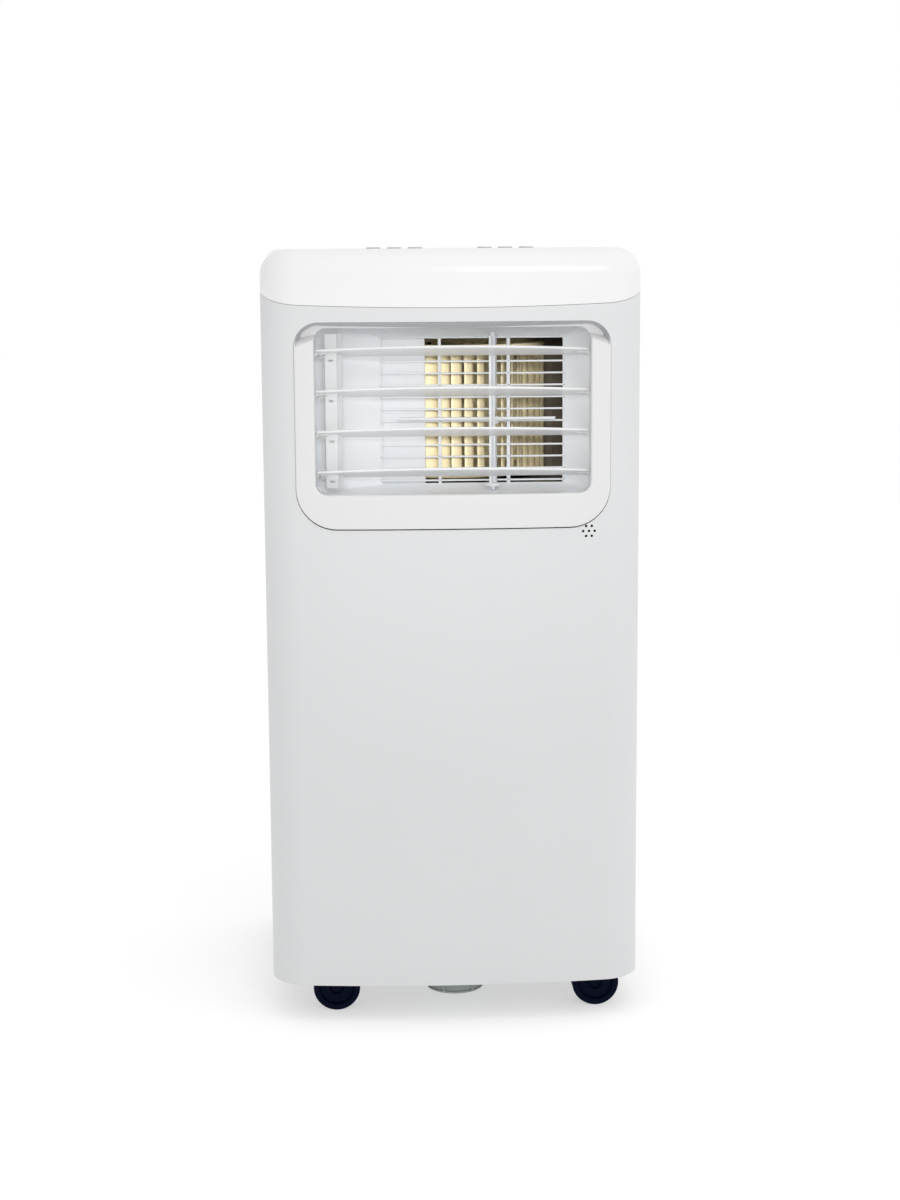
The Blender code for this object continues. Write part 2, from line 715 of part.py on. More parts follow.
def guard_grille():
    """Thin bars across the duct, tied by two ribs."""
    left, right = GRILLE_LEFT_X, GRILLE_RIGHT_X
    low, high, bar, pitch = GRILLE_LOW_Z, GRILLE_HIGH_Z, 0.0016, 0.0104
    ribs = [left + 0.003, -0.0110, -0.0083, 0.0490, 0.0521, right - 0.003]
    loops = [rounded(left + GAP, right - GAP, low, high, 0.0032, 2)]
    rows = int((high - low) / pitch)
    for row in range(rows):
        z = high - 0.003 - row * pitch
        for a, b in zip(ribs[::2], ribs[1::2]):
            loops.append([(a, z), (b, z), (b, z - pitch + bar), (a, z - pitch + bar)])
    plate("guard_grille", loops, 0.002, "XZ", GRILLE_Y + 0.001, "bezel_white")


def air_vane():
    """The upright vane that steers the air sideways, with pegs above and below and an arm."""
    low, high = 0.4738, 0.6042
    chord = VANE_HALF_CHORD
    face = [
        (-chord, low),
        (chord, low),
        (chord, ROD_Z - 0.010),
        (0.0015, ROD_Z - 0.010),
        (0.0015, ROD_Z + 0.008),
        (chord, ROD_Z + 0.008),
        (chord, high),
        (-chord, high),
    ]
    vane = plate("air_vane", [face], 0.0022, "YZ", 0.0, "bezel_white")
    top, foot = high + 0.003, low - 0.003
    pegs = [(0.0, top), (VANE_PEG_R, top), (VANE_PEG_R, foot), (0.0, foot)]
    boolean(vane, turned("vane_pegs", pegs, "Z", (0.0, 0.0, 0.0), 8, "bezel_white"), "UNION")
    arm = rounded(-0.0016, 0.0016, -0.0005, VANE_ARM + 0.0016, 0.001, 1)
    arm_z = ROD_Z - 0.0035
    boolean(vane, plate("vane_arm", [arm], 0.0018, "XY", arm_z, "bezel_white"), "UNION")
    pin = [(0.0, ROD_Z + 0.002), (0.0009, ROD_Z + 0.002), (0.0009, arm_z), (0.0, arm_z)]
    boolean(vane, turned("vane_pin", pin, "Z", (0.0, VANE_ARM, 0.0), 8, "bezel_white"), "UNION")
    vane = settle(vane)
    vane.location = (VANE_X, VANE_Y, 0.0)
    vane.rotation_euler = (0.0, 0.0, VANE_TURN)


def vane_rod():
    """The slide rod behind the vane, with a slot for the arm's pin and a finger tab at its right."""
    pin_x = VANE_X - VANE_ARM * math.sin(VANE_TURN)
    pin_y = VANE_Y + VANE_ARM * math.cos(VANE_TURN)
    tab_x = GRILLE_RIGHT_X - 0.0135
    front, back = pin_y - 0.0024, pin_y + 0.0024
    tab = arc(tab_x, pin_y, 0.0034, -50, 50, 5)
    body = [(-0.046, front), (tab_x - 0.001, front)] + tab + [(tab_x - 0.001, back), (-0.046, back)]
    slot = rounded(pin_x - 0.0015, pin_x + 0.0015, pin_y - 0.0018, pin_y + 0.0018, 0.0002, 1)
    plate("vane_slide_rod", [body, slot], 0.0022, "XY", ROD_Z, "bezel_white")


# Blower


def scroll(centre, start_degrees, sweep_degrees, start_r, end_r, steps, turn=-1):
    """Points along a volute's wall: the radius grows with the angle to the power 1.5."""
    points = []
    for i in range(steps + 1):
        t = i / steps
        angle = math.radians(start_degrees + turn * sweep_degrees * t)
        radius = start_r + (end_r - start_r) * t**1.5
        points.append((centre[0] + radius * math.cos(angle), centre[1] + radius * math.sin(angle)))
    return points


def thickened(path, wall):
    """A closed outline: the path, and back along it one wall further out on its left."""
    out = []
    for i, (x, y) in enumerate(path):
        ax, ay = path[max(i - 1, 0)]
        bx, by = path[min(i + 1, len(path) - 1)]
        length = math.hypot(bx - ax, by - ay)
        out.append((x - wall * (by - ay) / length, y + wall * (bx - ax) / length))
    return path + out[::-1]


def blower_volute():
    """The scroll's wall and floor; the wheel draws from above and blows out to the front."""
    path = volute_path()
    wall = plate(
        "blower_volute",
        [thickened(path, VOLUTE_WALL)],
        VOLUTE_LID_Z - GAP - VOLUTE_FLOOR_Z,
        "XY",
        (VOLUTE_LID_Z - GAP + VOLUTE_FLOOR_Z) / 2,
        "volute_brown",
    )
    hole = arc(BLOWER_X, BLOWER_Y, 0.009, 0, 330, 11)
    edge = thickened(path, VOLUTE_WALL / 2)[len(path):]
    floor_z = VOLUTE_FLOOR_Z + VOLUTE_FLOOR_T / 2
    floor = plate("volute_floor", [edge, hole], VOLUTE_FLOOR_T, "XY", floor_z, "volute_brown")
    boolean(wall, floor, "UNION")


def volute_path():
    """From the tongue, round the wheel by the left and the rear, to the right of the mouth."""
    tongue = -103.5
    points = scroll((BLOWER_X, BLOWER_Y), tongue, 256.5, 0.0965, 0.1160, 20)
    last_x = points[-1][0]
    mouth_x = GRILLE_RIGHT_X + 0.002
    mouth_y = GRILLE_Y + 0.0030
    for i in range(1, 4):
        s = i / 3
        points.append((last_x + (mouth_x - last_x) * s**1.6, BLOWER_Y + (mouth_y - BLOWER_Y) * s))
    return points


def volute_cover():
    """The scroll's lid with a round inlet."""
    path = volute_path()
    rim = thickened(path, VOLUTE_WALL)[len(path):][::-1]
    inlet = arc(BLOWER_X, BLOWER_Y, BLOWER_R - 0.014, 0, 342, 19)
    plate("volute_cover", [rim, inlet], 0.0024, "XY", VOLUTE_LID_Z + 0.0012, "volute_brown")


def outlet_baffle():
    """The flat white wall behind the grille's left end, up to the scroll's tongue."""
    box(
        "outlet_baffle",
        (GRILLE_LEFT_X, GRILLE_Y + 0.0026, GRILLE_LOW_Z),
        (-0.0225, GRILLE_Y + 0.0042, GRILLE_HIGH_Z),
        "duct_white",
    )


def blower_wheel():
    """A squirrel-cage wheel: a back plate with a hub, a ring on top and curved blades between."""
    centre = (BLOWER_X, BLOWER_Y, 0.0)
    low, high, rim = BLOWER_LOW_Z, BLOWER_HIGH_Z, BLOWER_R - 0.012
    plate_profile = [
        (0.0, low + 0.026), (0.004, low + 0.026), (0.004, low + 0.022), (0.011, low + 0.022),
        (0.013, low + 0.003), (BLOWER_R, low + 0.0024), (BLOWER_R, low), (0.004, low),
        (0.004, low - 0.054), (0.0, low - 0.054),
    ]
    wheel = turned("blower_wheel", plate_profile, "Z", centre, 28, "wheel_tan")
    ring_profile = [(rim, high), (BLOWER_R, high), (BLOWER_R, high - 0.004), (rim, high - 0.004)]
    ring = turned("wheel_ring", ring_profile, "Z", centre, 28, "wheel_tan", closed=True)
    blades = []
    for index in range(BLOWER_BLADES):
        turn = 2 * math.pi * (index + 0.5) / BLOWER_BLADES
        blades.append(blade_outline(turn, rim + 0.0008, BLOWER_R - 0.0008))
    cage = plate("wheel_blades", blades, high - low - 0.003, "XY", (high + low) / 2, "wheel_tan")
    cage.location = (BLOWER_X, BLOWER_Y, (high + low) / 2)
    boolean(wheel, cage, "UNION")
    boolean(wheel, ring, "UNION")


def blade_outline(turn, inner, outer):
    """One forward-curved blade in plan: it leans with the turning direction as it runs outwards."""
    middle = [(inner, 0.0), (outer, -0.080)]
    points = []
    for side in (0.0075, -0.0075):
        row = [
            (r * math.cos(turn + a + side), r * math.sin(turn + a + side)) for r, a in middle
        ]
        points += row if side > 0 else row[::-1]
    return points


def blower_motor():
    centre = (BLOWER_X, BLOWER_Y, 0.0)
    top, foot, bore = VOLUTE_FLOOR_Z - 0.003, PARTITION_Z + 0.0036, 0.0046
    body = [
        (bore, top), (0.012, top), (0.012, top - 0.003), (0.040, top - 0.005), (0.044, top - 0.010),
        (0.044, foot + 0.0064), (0.040, foot), (bore, foot),
    ]
    turned("blower_motor", body, "Z", centre, 20, "motor_grey", closed=True)


# Refrigeration


def coils():
    """Two finned slabs with end plates; the upper one cools, the lower one sheds the heat."""
    for name, low, high in (
        ("evaporator_coil", PARTITION_Z + 0.0145, UPPER_HIGH_Z),
        ("condenser_coil", FLOOR_Z + PAN_T + 0.0006, LOWER_HIGH_Z + 0.006),
    ):
        coil = box(
            name, (-COIL_HALF, COIL_FRONT_Y + 0.001, low + 0.001),
            (COIL_HALF, COIL_BACK_Y - 0.001, high - 0.001), "coil_aluminium",
        )
        for side in (-1, 1):
            x = side * COIL_HALF
            ends = sorted((x, x + side * 0.0016))
            end = box(
                f"{name}_end", (ends[0] - 0.0004, COIL_FRONT_Y, low),
                (ends[1] + 0.0004, COIL_BACK_Y, high), "coil_aluminium",
            )
            boolean(coil, end, "UNION")


def compressor():
    low, high, r = COMPRESSOR_LOW_Z, COMPRESSOR_HIGH_Z, COMPRESSOR_R
    profile = [
        (0.0, high), (0.020, high - 0.002), (0.040, high - 0.012), (r, high - 0.035), (r, low + 0.030),
        (0.045, low + 0.010), (0.050, low + 0.004), (0.050, low), (0.0, low),
    ]
    turned("compressor", profile, "Z", (COMPRESSOR_X, COMPRESSOR_Y, 0.0), 22, "black_steel")


def pipes():
    """Copper lines between the compressor and the two coils."""
    lines = {
        "discharge_pipe": (
            0.0038,
            [(0.085, -0.045, 0.2500), (0.085, -0.045, 0.268), (0.100, -0.030, 0.280),
             (0.140, 0.010, 0.278), (0.145, 0.080, 0.262), (0.143, 0.118, 0.245),
             (0.1325, 0.122, 0.240)],
        ),
        "suction_pipe": (
            0.0046,
            [(0.1335, 0.121, 0.430), (0.143, 0.118, 0.426), (0.145, 0.106, 0.400),
             (0.145, 0.090, 0.360), (0.138, 0.040, 0.345), (0.110, -0.040, 0.335),
             (0.070, -0.080, 0.310), (0.060, -0.082, 0.280), (0.060, -0.082, 0.2430)],
        ),
        "capillary_tube": (
            0.0018,
            [(0.1300, 0.122, 0.090), (0.140, 0.120, 0.094), (0.150, 0.100, 0.130),
             (0.153, 0.088, 0.200), (0.153, 0.085, 0.300), (0.152, 0.085, 0.400),
             (0.148, 0.100, 0.440), (0.140, 0.120, 0.470), (0.1300, 0.122, 0.476)],
        ),
    }
    for name, (radius, points) in lines.items():
        tube(name, smooth_route(points, 3), radius, "copper")


# Condenser air and exhaust


def fan_housing():
    """A scroll under a chimney: it draws through the lower coil and blows out of the rear port."""
    outer, inner = fan_outline(0.0), fan_outline(0.002)
    depth = FAN_BACK_Y - FAN_FRONT_Y
    middle = (FAN_BACK_Y + FAN_FRONT_Y) / 2
    wall = plate("condenser_fan_housing", [outer, inner], depth, "XZ", middle, "volute_brown")
    hole = arc(FAN_X, FAN_Z, 0.009, 0, 330, 11)
    back = plate(
        "fan_front", [fan_outline(0.001), hole], 0.0025, "XZ", FAN_FRONT_Y + 0.00125, "volute_brown"
    )
    boolean(wall, back, "UNION")
    inlet = arc(FAN_X, FAN_Z, FAN_R - 0.010, 0, 345, 23)
    port = arc(EXHAUST_X, EXHAUST_Z, EXHAUST_R, 0, 345, 23)
    cover_y = FAN_BACK_Y + GAP + 0.0012
    plate("condenser_fan_cover", [outer, inlet, port], 0.0024, "XZ", cover_y, "volute_brown")


def fan_outline(inset):
    """The scroll below and to the left, and the square chimney above it on the right."""
    r0, r1 = 0.068 - inset, 0.081 - inset
    below = [(x, z) for x, z in scroll((FAN_X, FAN_Z), 150.0, 150.0, r0, r1, 14, turn=1)]
    right, top, left = 0.110 - inset, PARTITION_Z - 0.001 - inset, -0.020 + inset
    return below + [
        (0.070 - inset, 0.130 + inset),
        (right, 0.200),
        (right, top),
        (left, top),
        (left, FAN_Z + 0.096 - inset),
        (FAN_X - 0.042 + inset, FAN_Z + 0.062 - inset),
    ]


def condenser_fan():
    """The fan wheel on the motor's shaft: a plate with flat blades."""
    y0, y1 = FAN_FRONT_Y + 0.010, FAN_BACK_Y - 0.008
    hub = [
        (0.0, y0 + 0.024), (0.004, y0 + 0.024), (0.004, y0 + 0.020), (0.011, y0 + 0.020),
        (0.012, y0 + 0.003), (FAN_R, y0 + 0.0022), (FAN_R, y0), (0.004, y0), (0.004, -0.018),
        (0.0, -0.018),
    ]
    fan = turned("condenser_fan", hub, "Y", (FAN_X, 0.0, FAN_Z), 22, "black_steel")
    blades = []
    for index in range(FAN_BLADES):
        turn = 2 * math.pi * (index + 0.5) / FAN_BLADES
        blades.append(blade_outline(turn, FAN_R - 0.020, FAN_R - 0.001))
    cage = plate("fan_blades", blades, y1 - y0 - 0.001, "XZ", 0.0, "black_steel")
    cage.location = (FAN_X, (y0 + y1) / 2, FAN_Z)
    boolean(fan, cage, "UNION")
    body = [
        (0.0046, FAN_FRONT_Y - 0.003), (0.036, FAN_FRONT_Y - 0.003), (0.041, -0.020), (0.036, -0.026),
        (0.0, -0.026), (0.0, -0.022), (0.0046, -0.022),
    ]
    turned("condenser_motor", body, "Y", (FAN_X, 0.0, FAN_Z), 20, "motor_grey", closed=True)


def exhaust_collar():
    """The round port that takes the exhaust hose, with a lip on the rear."""
    inner, outer = EXHAUST_R, EXHAUST_R + 0.0024
    start, end = FAN_BACK_Y + 0.0032, REAR_Y
    profile = [
        (inner, end), (outer + 0.0020, end), (outer + 0.0020, end - 0.0024), (outer, end - 0.0028),
        (outer, start), (inner, start),
    ]
    turned("exhaust_collar", profile, "Y", (EXHAUST_X, 0.0, EXHAUST_Z), 28, "bezel_white", closed=True)


# Rear grilles and filters


def rear_grilles():
    """Snap-in grilles with level slots, over the two filters."""
    for name, low, high in (
        ("upper_inlet_grille", UPPER_LOW_Z, UPPER_HIGH_Z),
        ("lower_inlet_grille", LOWER_LOW_Z, LOWER_HIGH_Z),
    ):
        half = WINDOW_HALF - GAP
        loops = [rounded(-half, half, low + GAP, high - GAP, 0.0076)]
        rows = int((high - low - 0.014) / SLOT_PITCH)
        first = (low + high - (rows - 1) * SLOT_PITCH) / 2
        for row in range(rows):
            z = first + row * SLOT_PITCH
            for x0, x1 in ((-0.110, -0.002), (0.002, 0.110)):
                loops.append(
                    [(x0, z - SLOT_HALF), (x1, z - SLOT_HALF), (x1, z + SLOT_HALF), (x0, z + SLOT_HALF)]
                )
        plate(name, loops, SHELL, "XZ", REAR_Y - SHELL / 2, "satin_white")


def filters():
    """Mesh filters in thin frames, drawn out through slots in the right side by their tabs."""
    left, tab_x = -0.119, WIDTH / 2 - 0.005
    rail, web, pitch = 0.006, 0.0004, 0.076
    for name, low, high in (
        ("upper_air_filter", UPPER_LOW_Z, UPPER_HIGH_Z),
        ("lower_air_filter", LOWER_LOW_Z, LOWER_HIGH_Z),
    ):
        frame = box(
            name, (left, FILTER_Y - FILTER_T / 2, low), (tab_x, FILTER_Y + FILTER_T / 2, high),
            "filter_grey",
        )
        tab = box(
            "filter_tab", (tab_x - 0.001, FILTER_Y - FILTER_TAB_T / 2, low - GAP),
            (WIDTH / 2, FILTER_Y + FILTER_TAB_T / 2, high + GAP), "filter_grey",
        )
        boolean(frame, tab, "UNION")
        for part in range(3):
            x0 = left + rail + part * pitch
            window = box(
                "filter_window", (x0, FILTER_Y - FILTER_T, low + 0.008),
                (x0 + pitch - rail, FILTER_Y - web, high - 0.008), "filter_grey",
            )
            boolean(frame, window)


# Controls and electrics


def button_places():
    """Each button's name and its middle on the control panel."""
    names = (
        "power_button", "mode_button", "timer_button",
        "temperature_down_button", "temperature_up_button", "fan_speed_button",
    )
    xs = (-0.066, -0.048, -0.030, 0.030, 0.048, 0.066)
    return [(name, x, (PANEL_FRONT_Y + PANEL_BACK_Y) / 2) for name, x in zip(names, xs)]


def controls():
    outer = rounded(-PANEL_HALF, PANEL_HALF, PANEL_FRONT_Y, PANEL_BACK_Y, 0.0076)
    middle = (PANEL_FRONT_Y + PANEL_BACK_Y) / 2
    loops = [outer] + [arc(x, y, BUTTON_R + 0.0005, 0, 337.5, 15) for _, x, y in button_places()]
    loops.append(rounded(-0.0184, 0.0184, middle - 0.0124, middle + 0.0124, 0.0034, 2))
    plate("control_panel", loops, PANEL_T, "XY", TOP_Z - PANEL_T / 2, "bezel_white")
    lens = rounded(-0.018, 0.018, middle - 0.012, middle + 0.012, 0.003, 2)
    plate("display_window", [lens], PANEL_T, "XY", TOP_Z - PANEL_T / 2, "display_black")
    for name, x, y in button_places():
        profile = [
            (0.0, BUTTON_PROUD), (BUTTON_R - 0.0008, BUTTON_PROUD), (BUTTON_R, BUTTON_PROUD - 0.0008),
            (BUTTON_R, -0.0050), (0.0, -0.0050),
        ]
        turned(name, profile, "Z", (x, y, TOP_Z), 16, "button_grey")
    board_z = TOP_Z - 0.0120
    box(
        "control_board", (-0.074, PANEL_FRONT_Y + 0.003, board_z - 0.0016),
        (0.074, PANEL_BACK_Y - 0.003, board_z), "board_green",
    )


def electrics():
    box("electrical_box", (-0.152, -0.125, 0.285), (-0.088, -0.030, 0.380), "box_steel", 0.0015)
    bore, inner = 0.0045, REAR_Y - 0.008
    gland = [
        (bore, REAR_Y), (PLUG_R - 0.0012, REAR_Y), (PLUG_R, REAR_Y - 0.0009), (PLUG_R, inner),
        (bore, inner),
    ]
    turned("cord_gland", gland, "Y", (GLAND_X, 0.0, GLAND_Z), 16, "cap_grey", closed=True)
    x, z = SENSOR_X, SENSOR_Z
    box("room_sensor", (x - 0.0065, -0.1428, z - 0.0065), (x + 0.0065, -0.137, z + 0.0033), "board_green")


# Underside


def caster_places():
    return [(x, y) for y in (-CASTER_Y, CASTER_Y) for x in (-CASTER_X, CASTER_X)]


def casters():
    """Hooded twin-wheel casters, all trailing to the right, with their stems in the base pan."""
    names = ("front_left", "front_right", "rear_left", "rear_right")
    for name, (x, y) in zip(names, caster_places()):
        fork = caster_fork(f"caster_fork_{name}")
        fork.location = (x, y, 0.0)
        wheel = caster_wheel(f"caster_wheel_{name}")
        wheel.parent = fork
        wheel.location = (CASTER_TRAIL, 0.0, WHEEL_R)


def caster_fork(name):
    """A web between the wheels with a hood over them and a stem on top."""
    web = (
        arc(CASTER_TRAIL, WHEEL_R, 0.0060, -90, 30, 4)
        + [(0.0060, WHEEL_R + 0.0235), (-0.0060, WHEEL_R + 0.0235)]
        + [(CASTER_TRAIL - 0.0060, WHEEL_R)]
    )
    axle = arc(CASTER_TRAIL, WHEEL_R, 0.0029, 0, 315, 7)
    fork = plate(name, [web, axle], 0.0050, "XZ", 0.0, "caster_navy")
    hood_in = arc(CASTER_TRAIL, WHEEL_R, WHEEL_R + 0.0014, 50, 200, 5)
    hood_out = arc(CASTER_TRAIL, WHEEL_R, WHEEL_R + 0.0030, 200, 50, 5)
    hood = plate(f"{name}_hood", [hood_in + hood_out], 0.0260, "XZ", 0.0, "caster_navy")
    boolean(fork, hood, "UNION")
    top = FLOOR_Z - 0.0006
    head, collar, root = FLOOR_Z + PAN_T + 0.004, 0.0085, WHEEL_R + 0.0222
    stem = [(0.0, head), (STEM_R, head), (STEM_R, top), (collar, top), (collar, root), (0.0, root)]
    boolean(fork, turned(f"{name}_stem", stem, "Z", (0.0, 0.0, 0.0), 10, "caster_navy"), "UNION")
    return settle(fork)


def caster_wheel(name):
    """Two discs on one axle, turned as one profile."""
    half, inner = 0.0115, 0.0031
    side = [
        (0.0, half - 0.0025), (0.0150, half - 0.0025), (0.0165, half), (WHEEL_R, half - 0.0010),
        (WHEEL_R, inner), (0.0022, inner),
    ]
    return turned(
        name, side + [(r, -y) for r, y in reversed(side)], "Y", (0.0, 0.0, 0.0), 20, "caster_navy"
    )


def drains():
    """The screw cap under the front and the plug low on the rear."""
    r, low, shoulder, head = DRAIN_CAP_R, DRAIN_CAP_LOW_Z, FLOOR_Z - 0.002, FLOOR_Z + 0.006
    profile = [
        (0.0, head), (DRAIN_NECK_R, head), (DRAIN_NECK_R, shoulder), (r, shoulder),
        (r, low + 0.0018), (r - 0.0015, low), (0.0, low),
    ]
    cap = turned("drain_cap", profile, "Z", (0.0, DRAIN_CAP_Y, 0.0), 24, "cap_grey")
    for index in range(6):
        a = math.radians(60 * index - 55)
        rib = box(
            f"cap_rib_{index}", (-0.0012, -0.0012, low + 0.0018), (0.0012, 0.0012, shoulder - 0.002),
            "cap_grey",
        )
        rib.location.x = (r - 0.0002) * math.cos(a)
        rib.location.y = DRAIN_CAP_Y + (r - 0.0002) * math.sin(a)
        rib.rotation_euler.z = a
        boolean(cap, rib, "UNION")
    inner = REAR_Y - 0.013
    plug = [
        (0.0, REAR_Y), (PLUG_R - 0.0015, REAR_Y), (PLUG_R, REAR_Y - 0.001), (PLUG_R, inner), (0.0, inner),
    ]
    turned("drain_plug", plug, "Y", (DRAIN_X, 0.0, DRAIN_Z), 16, "cap_grey")


def main():
    front_panel()
    rear_casing()
    top_cover()
    handle_cups()
    base_pan()
    partition_tray()
    outlet_bezel()
    outlet_duct()
    louvres()
    louvre_link_bar()
    louvre_motor()
    guard_grille()
    air_vane()
    vane_rod()
    outlet_baffle()
    blower_volute()
    volute_cover()
    blower_wheel()
    blower_motor()
    coils()
    compressor()
    pipes()
    fan_housing()
    condenser_fan()
    exhaust_collar()
    rear_grilles()
    filters()
    controls()
    electrics()
    casters()
    drains()


main()
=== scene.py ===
"""Looks of the portable air conditioner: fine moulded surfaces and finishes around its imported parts.

Laid out as an add-on, and run as a script. Every piece is worked out with numpy in metres, in the
part's own frame: +Z up, the front with the air outlet faces -Y, the origin is on the floor.
"""

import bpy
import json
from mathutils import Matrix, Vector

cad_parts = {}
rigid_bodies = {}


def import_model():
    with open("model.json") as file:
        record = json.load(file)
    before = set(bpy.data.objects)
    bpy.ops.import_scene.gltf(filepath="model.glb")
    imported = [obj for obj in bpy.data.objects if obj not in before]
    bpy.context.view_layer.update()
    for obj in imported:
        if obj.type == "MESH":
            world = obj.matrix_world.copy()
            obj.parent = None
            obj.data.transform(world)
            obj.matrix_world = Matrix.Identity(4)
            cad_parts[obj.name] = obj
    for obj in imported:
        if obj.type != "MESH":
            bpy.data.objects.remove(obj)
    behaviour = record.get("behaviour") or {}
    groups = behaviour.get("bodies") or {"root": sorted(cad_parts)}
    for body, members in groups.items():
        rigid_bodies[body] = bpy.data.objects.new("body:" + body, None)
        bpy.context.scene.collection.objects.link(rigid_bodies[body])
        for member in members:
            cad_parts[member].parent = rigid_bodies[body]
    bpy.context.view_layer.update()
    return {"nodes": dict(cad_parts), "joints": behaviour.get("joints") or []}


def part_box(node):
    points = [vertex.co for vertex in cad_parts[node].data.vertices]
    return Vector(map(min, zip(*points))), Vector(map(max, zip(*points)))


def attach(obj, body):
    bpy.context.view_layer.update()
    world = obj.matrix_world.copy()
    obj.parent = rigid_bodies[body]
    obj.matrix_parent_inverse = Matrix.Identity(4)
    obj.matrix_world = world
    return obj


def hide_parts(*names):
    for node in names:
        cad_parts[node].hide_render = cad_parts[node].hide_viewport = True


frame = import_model()

import json
import math

import bmesh
import bpy
import numpy as np
from mathutils import Matrix, Vector

bl_info = {
    "name": "Portable Air Conditioner",
    "version": (1, 0, 0),
    "blender": (4, 5, 0),
    "location": "View3D > Sidebar > Cooler",
    "description": "Builds the cabinet, outlet, blower, controls and casters of a portable air conditioner",
    "category": "Object",
}

HOUSING = "housing"
CORNERS = ("front_left", "front_right", "rear_left", "rear_right")
LOUVRES = ("louvre_1", "louvre_2", "louvre_3", "louvre_4")
BUTTONS = (
    "power_button", "mode_button", "timer_button",
    "temperature_down_button", "temperature_up_button", "fan_speed_button",
)
MM = 0.001
MERGE = 1e-6
SHARP = math.radians(35)
MIRROR = np.array([-1.0, 1.0])
BEZEL_CORNERS = 34.6 * MM, 20.6 * MM  # the outlet frame's lower and upper corners
NOTCH = -111.0 * MM, -94.5 * MM  # room in the louvres for the link bar, in x
HAND_HOLD = -5 * MM, 90 * MM, 613 * MM, 641 * MM  # y and z of a hand hold's mouth


def low(node, axis):
    """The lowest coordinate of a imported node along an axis, 0 to 2."""
    return float(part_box(node)[0][axis])


def high(node, axis):
    """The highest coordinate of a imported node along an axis."""
    return float(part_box(node)[1][axis])


def middle(node, axis):
    """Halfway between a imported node's lowest and highest coordinates along an axis."""
    return (low(node, axis) + high(node, axis)) / 2


def joint_at(name):
    """The place of a joint's axis at rest."""
    return next(joint["pos_m"] for joint in frame["joints"] if joint["name"] == name)


# Sizes and colours that a user may change


def length(label, words, value):
    return bpy.props.FloatProperty(name=label, description=words, default=value, unit="LENGTH", precision=5)


def colour(label, words, value):
    return bpy.props.FloatVectorProperty(
        name=label, description=words, default=value, subtype="COLOR", size=3, min=0.0, max=1.0
    )


class CoolerSizes(bpy.types.PropertyGroup):
    """Sizes of the moulded shells."""

    wall: length("Wall", "Thickness of the moulded shells", 2.5 * MM)
    edge: length("Edge", "Radius on the shells' cut edges", 0.4 * MM)
    bow: length("Bow", "Radius of the bowed front", 1.15)
    front_corner: length("Front corner", "Radius of the cabinet's front corners", 36 * MM)
    rear_corner: length("Rear corner", "Radius of the cabinet's rear corners", 14 * MM)
    top_front: length("Top edge, front", "Radius of the lid's edge at the front", 22 * MM)
    top_rear: length("Top edge, rear", "Radius of the lid's edge at the rear", 10 * MM)
    seam_front: length("Seam height", "Height of the seam under the lid at the front", 629.5 * MM)
    seam_rise: length("Seam rise", "How far the seam climbs round the corners", 26 * MM)
    seam_run: length("Seam run", "Depth over which the seam climbs", 110 * MM)
    seam_gap: length("Seam gap", "Gap between the lid and the panels", 0.25 * MM)


class CoolerColours(bpy.types.PropertyGroup):
    """Colours of the finishes."""

    lid: colour("Lid", "Glossy lid", (0.78, 0.78, 0.78))
    panel: colour("Panel", "Satin front panel and rear casing", (0.655, 0.662, 0.668))
    bezel: colour("Bezel", "Outlet frame", (0.69, 0.69, 0.69))
    # Painted shade: the grey of the chamfer stands for the shadow under the panel's edge on the white frame
    shade: colour("Chamfer", "Chamfer along the top of the outlet frame", (0.42, 0.43, 0.45))
    louvre: colour("Louvre", "Louvres and link bar", (0.70, 0.705, 0.71))
    duct: colour("Duct", "Outlet duct, grille and vane", (0.86, 0.88, 0.90))
    wheel: colour("Blower wheel", "Tan fan plastic", (0.86, 0.76, 0.50))
    # The dark brown is partly the housings' own plastic and partly painted shade deep inside the scroll
    scroll: colour("Scroll", "Dark lining of the fan housings", (0.22, 0.19, 0.15))
    caster: colour("Caster", "Black nylon with a blue cast", (0.0006, 0.0030, 0.016))
    cap: colour("Cap", "Drain cap, plug and gland", (0.27, 0.305, 0.295))


# Surfaces


def eased(share):
    """A share held from 0 to 1 and eased at both ends: three of its squares less two of its cubes."""
    share = np.clip(share, 0, 1)
    return share**2 * (3 - 2 * share)


def arc(cx, cy, radius, start, end, steps):
    """Points on a circle from start to end in degrees: the centre plus radius times (cosine, sine)."""
    turn = np.radians(np.linspace(start, end, steps + 1))
    return np.stack([cx + radius * np.cos(turn), cy + radius * np.sin(turn)], axis=1)


def circle(cx, cy, radius, count):
    """A closed loop of count points round a centre."""
    return arc(cx, cy, radius, 0, 360 - 360 / count, count - 1)


def rounded(x0, x1, y0, y1, lower, upper=None, steps=6, along=1):
    """A closed loop round a rectangle: four quarter arcs, with the runs between them cut into along parts."""
    upper = lower if upper is None else upper
    arcs = [
        arc(x0 + lower, y0 + lower, lower, 180, 270, steps),
        arc(x1 - lower, y0 + lower, lower, 270, 360, steps),
        arc(x1 - upper, y1 - upper, upper, 0, 90, steps),
        arc(x0 + upper, y1 - upper, upper, 90, 180, steps),
    ]
    t = np.linspace(0, 1, along + 1)[1:-1, None]
    runs = [np.concatenate([a, a[-1] * (1 - t) + b[0] * t]) for a, b in zip(arcs, arcs[1:] + arcs[:1])]
    return np.concatenate(runs)


def outward(loop):
    """Unit normals of an anticlockwise loop: the line between a point's neighbours, turned clockwise."""
    along = np.roll(loop, -1, axis=0) - np.roll(loop, 1, axis=0)
    along /= np.linalg.norm(along, axis=1, keepdims=True)
    return np.stack([along[:, 1], -along[:, 0]], axis=1)


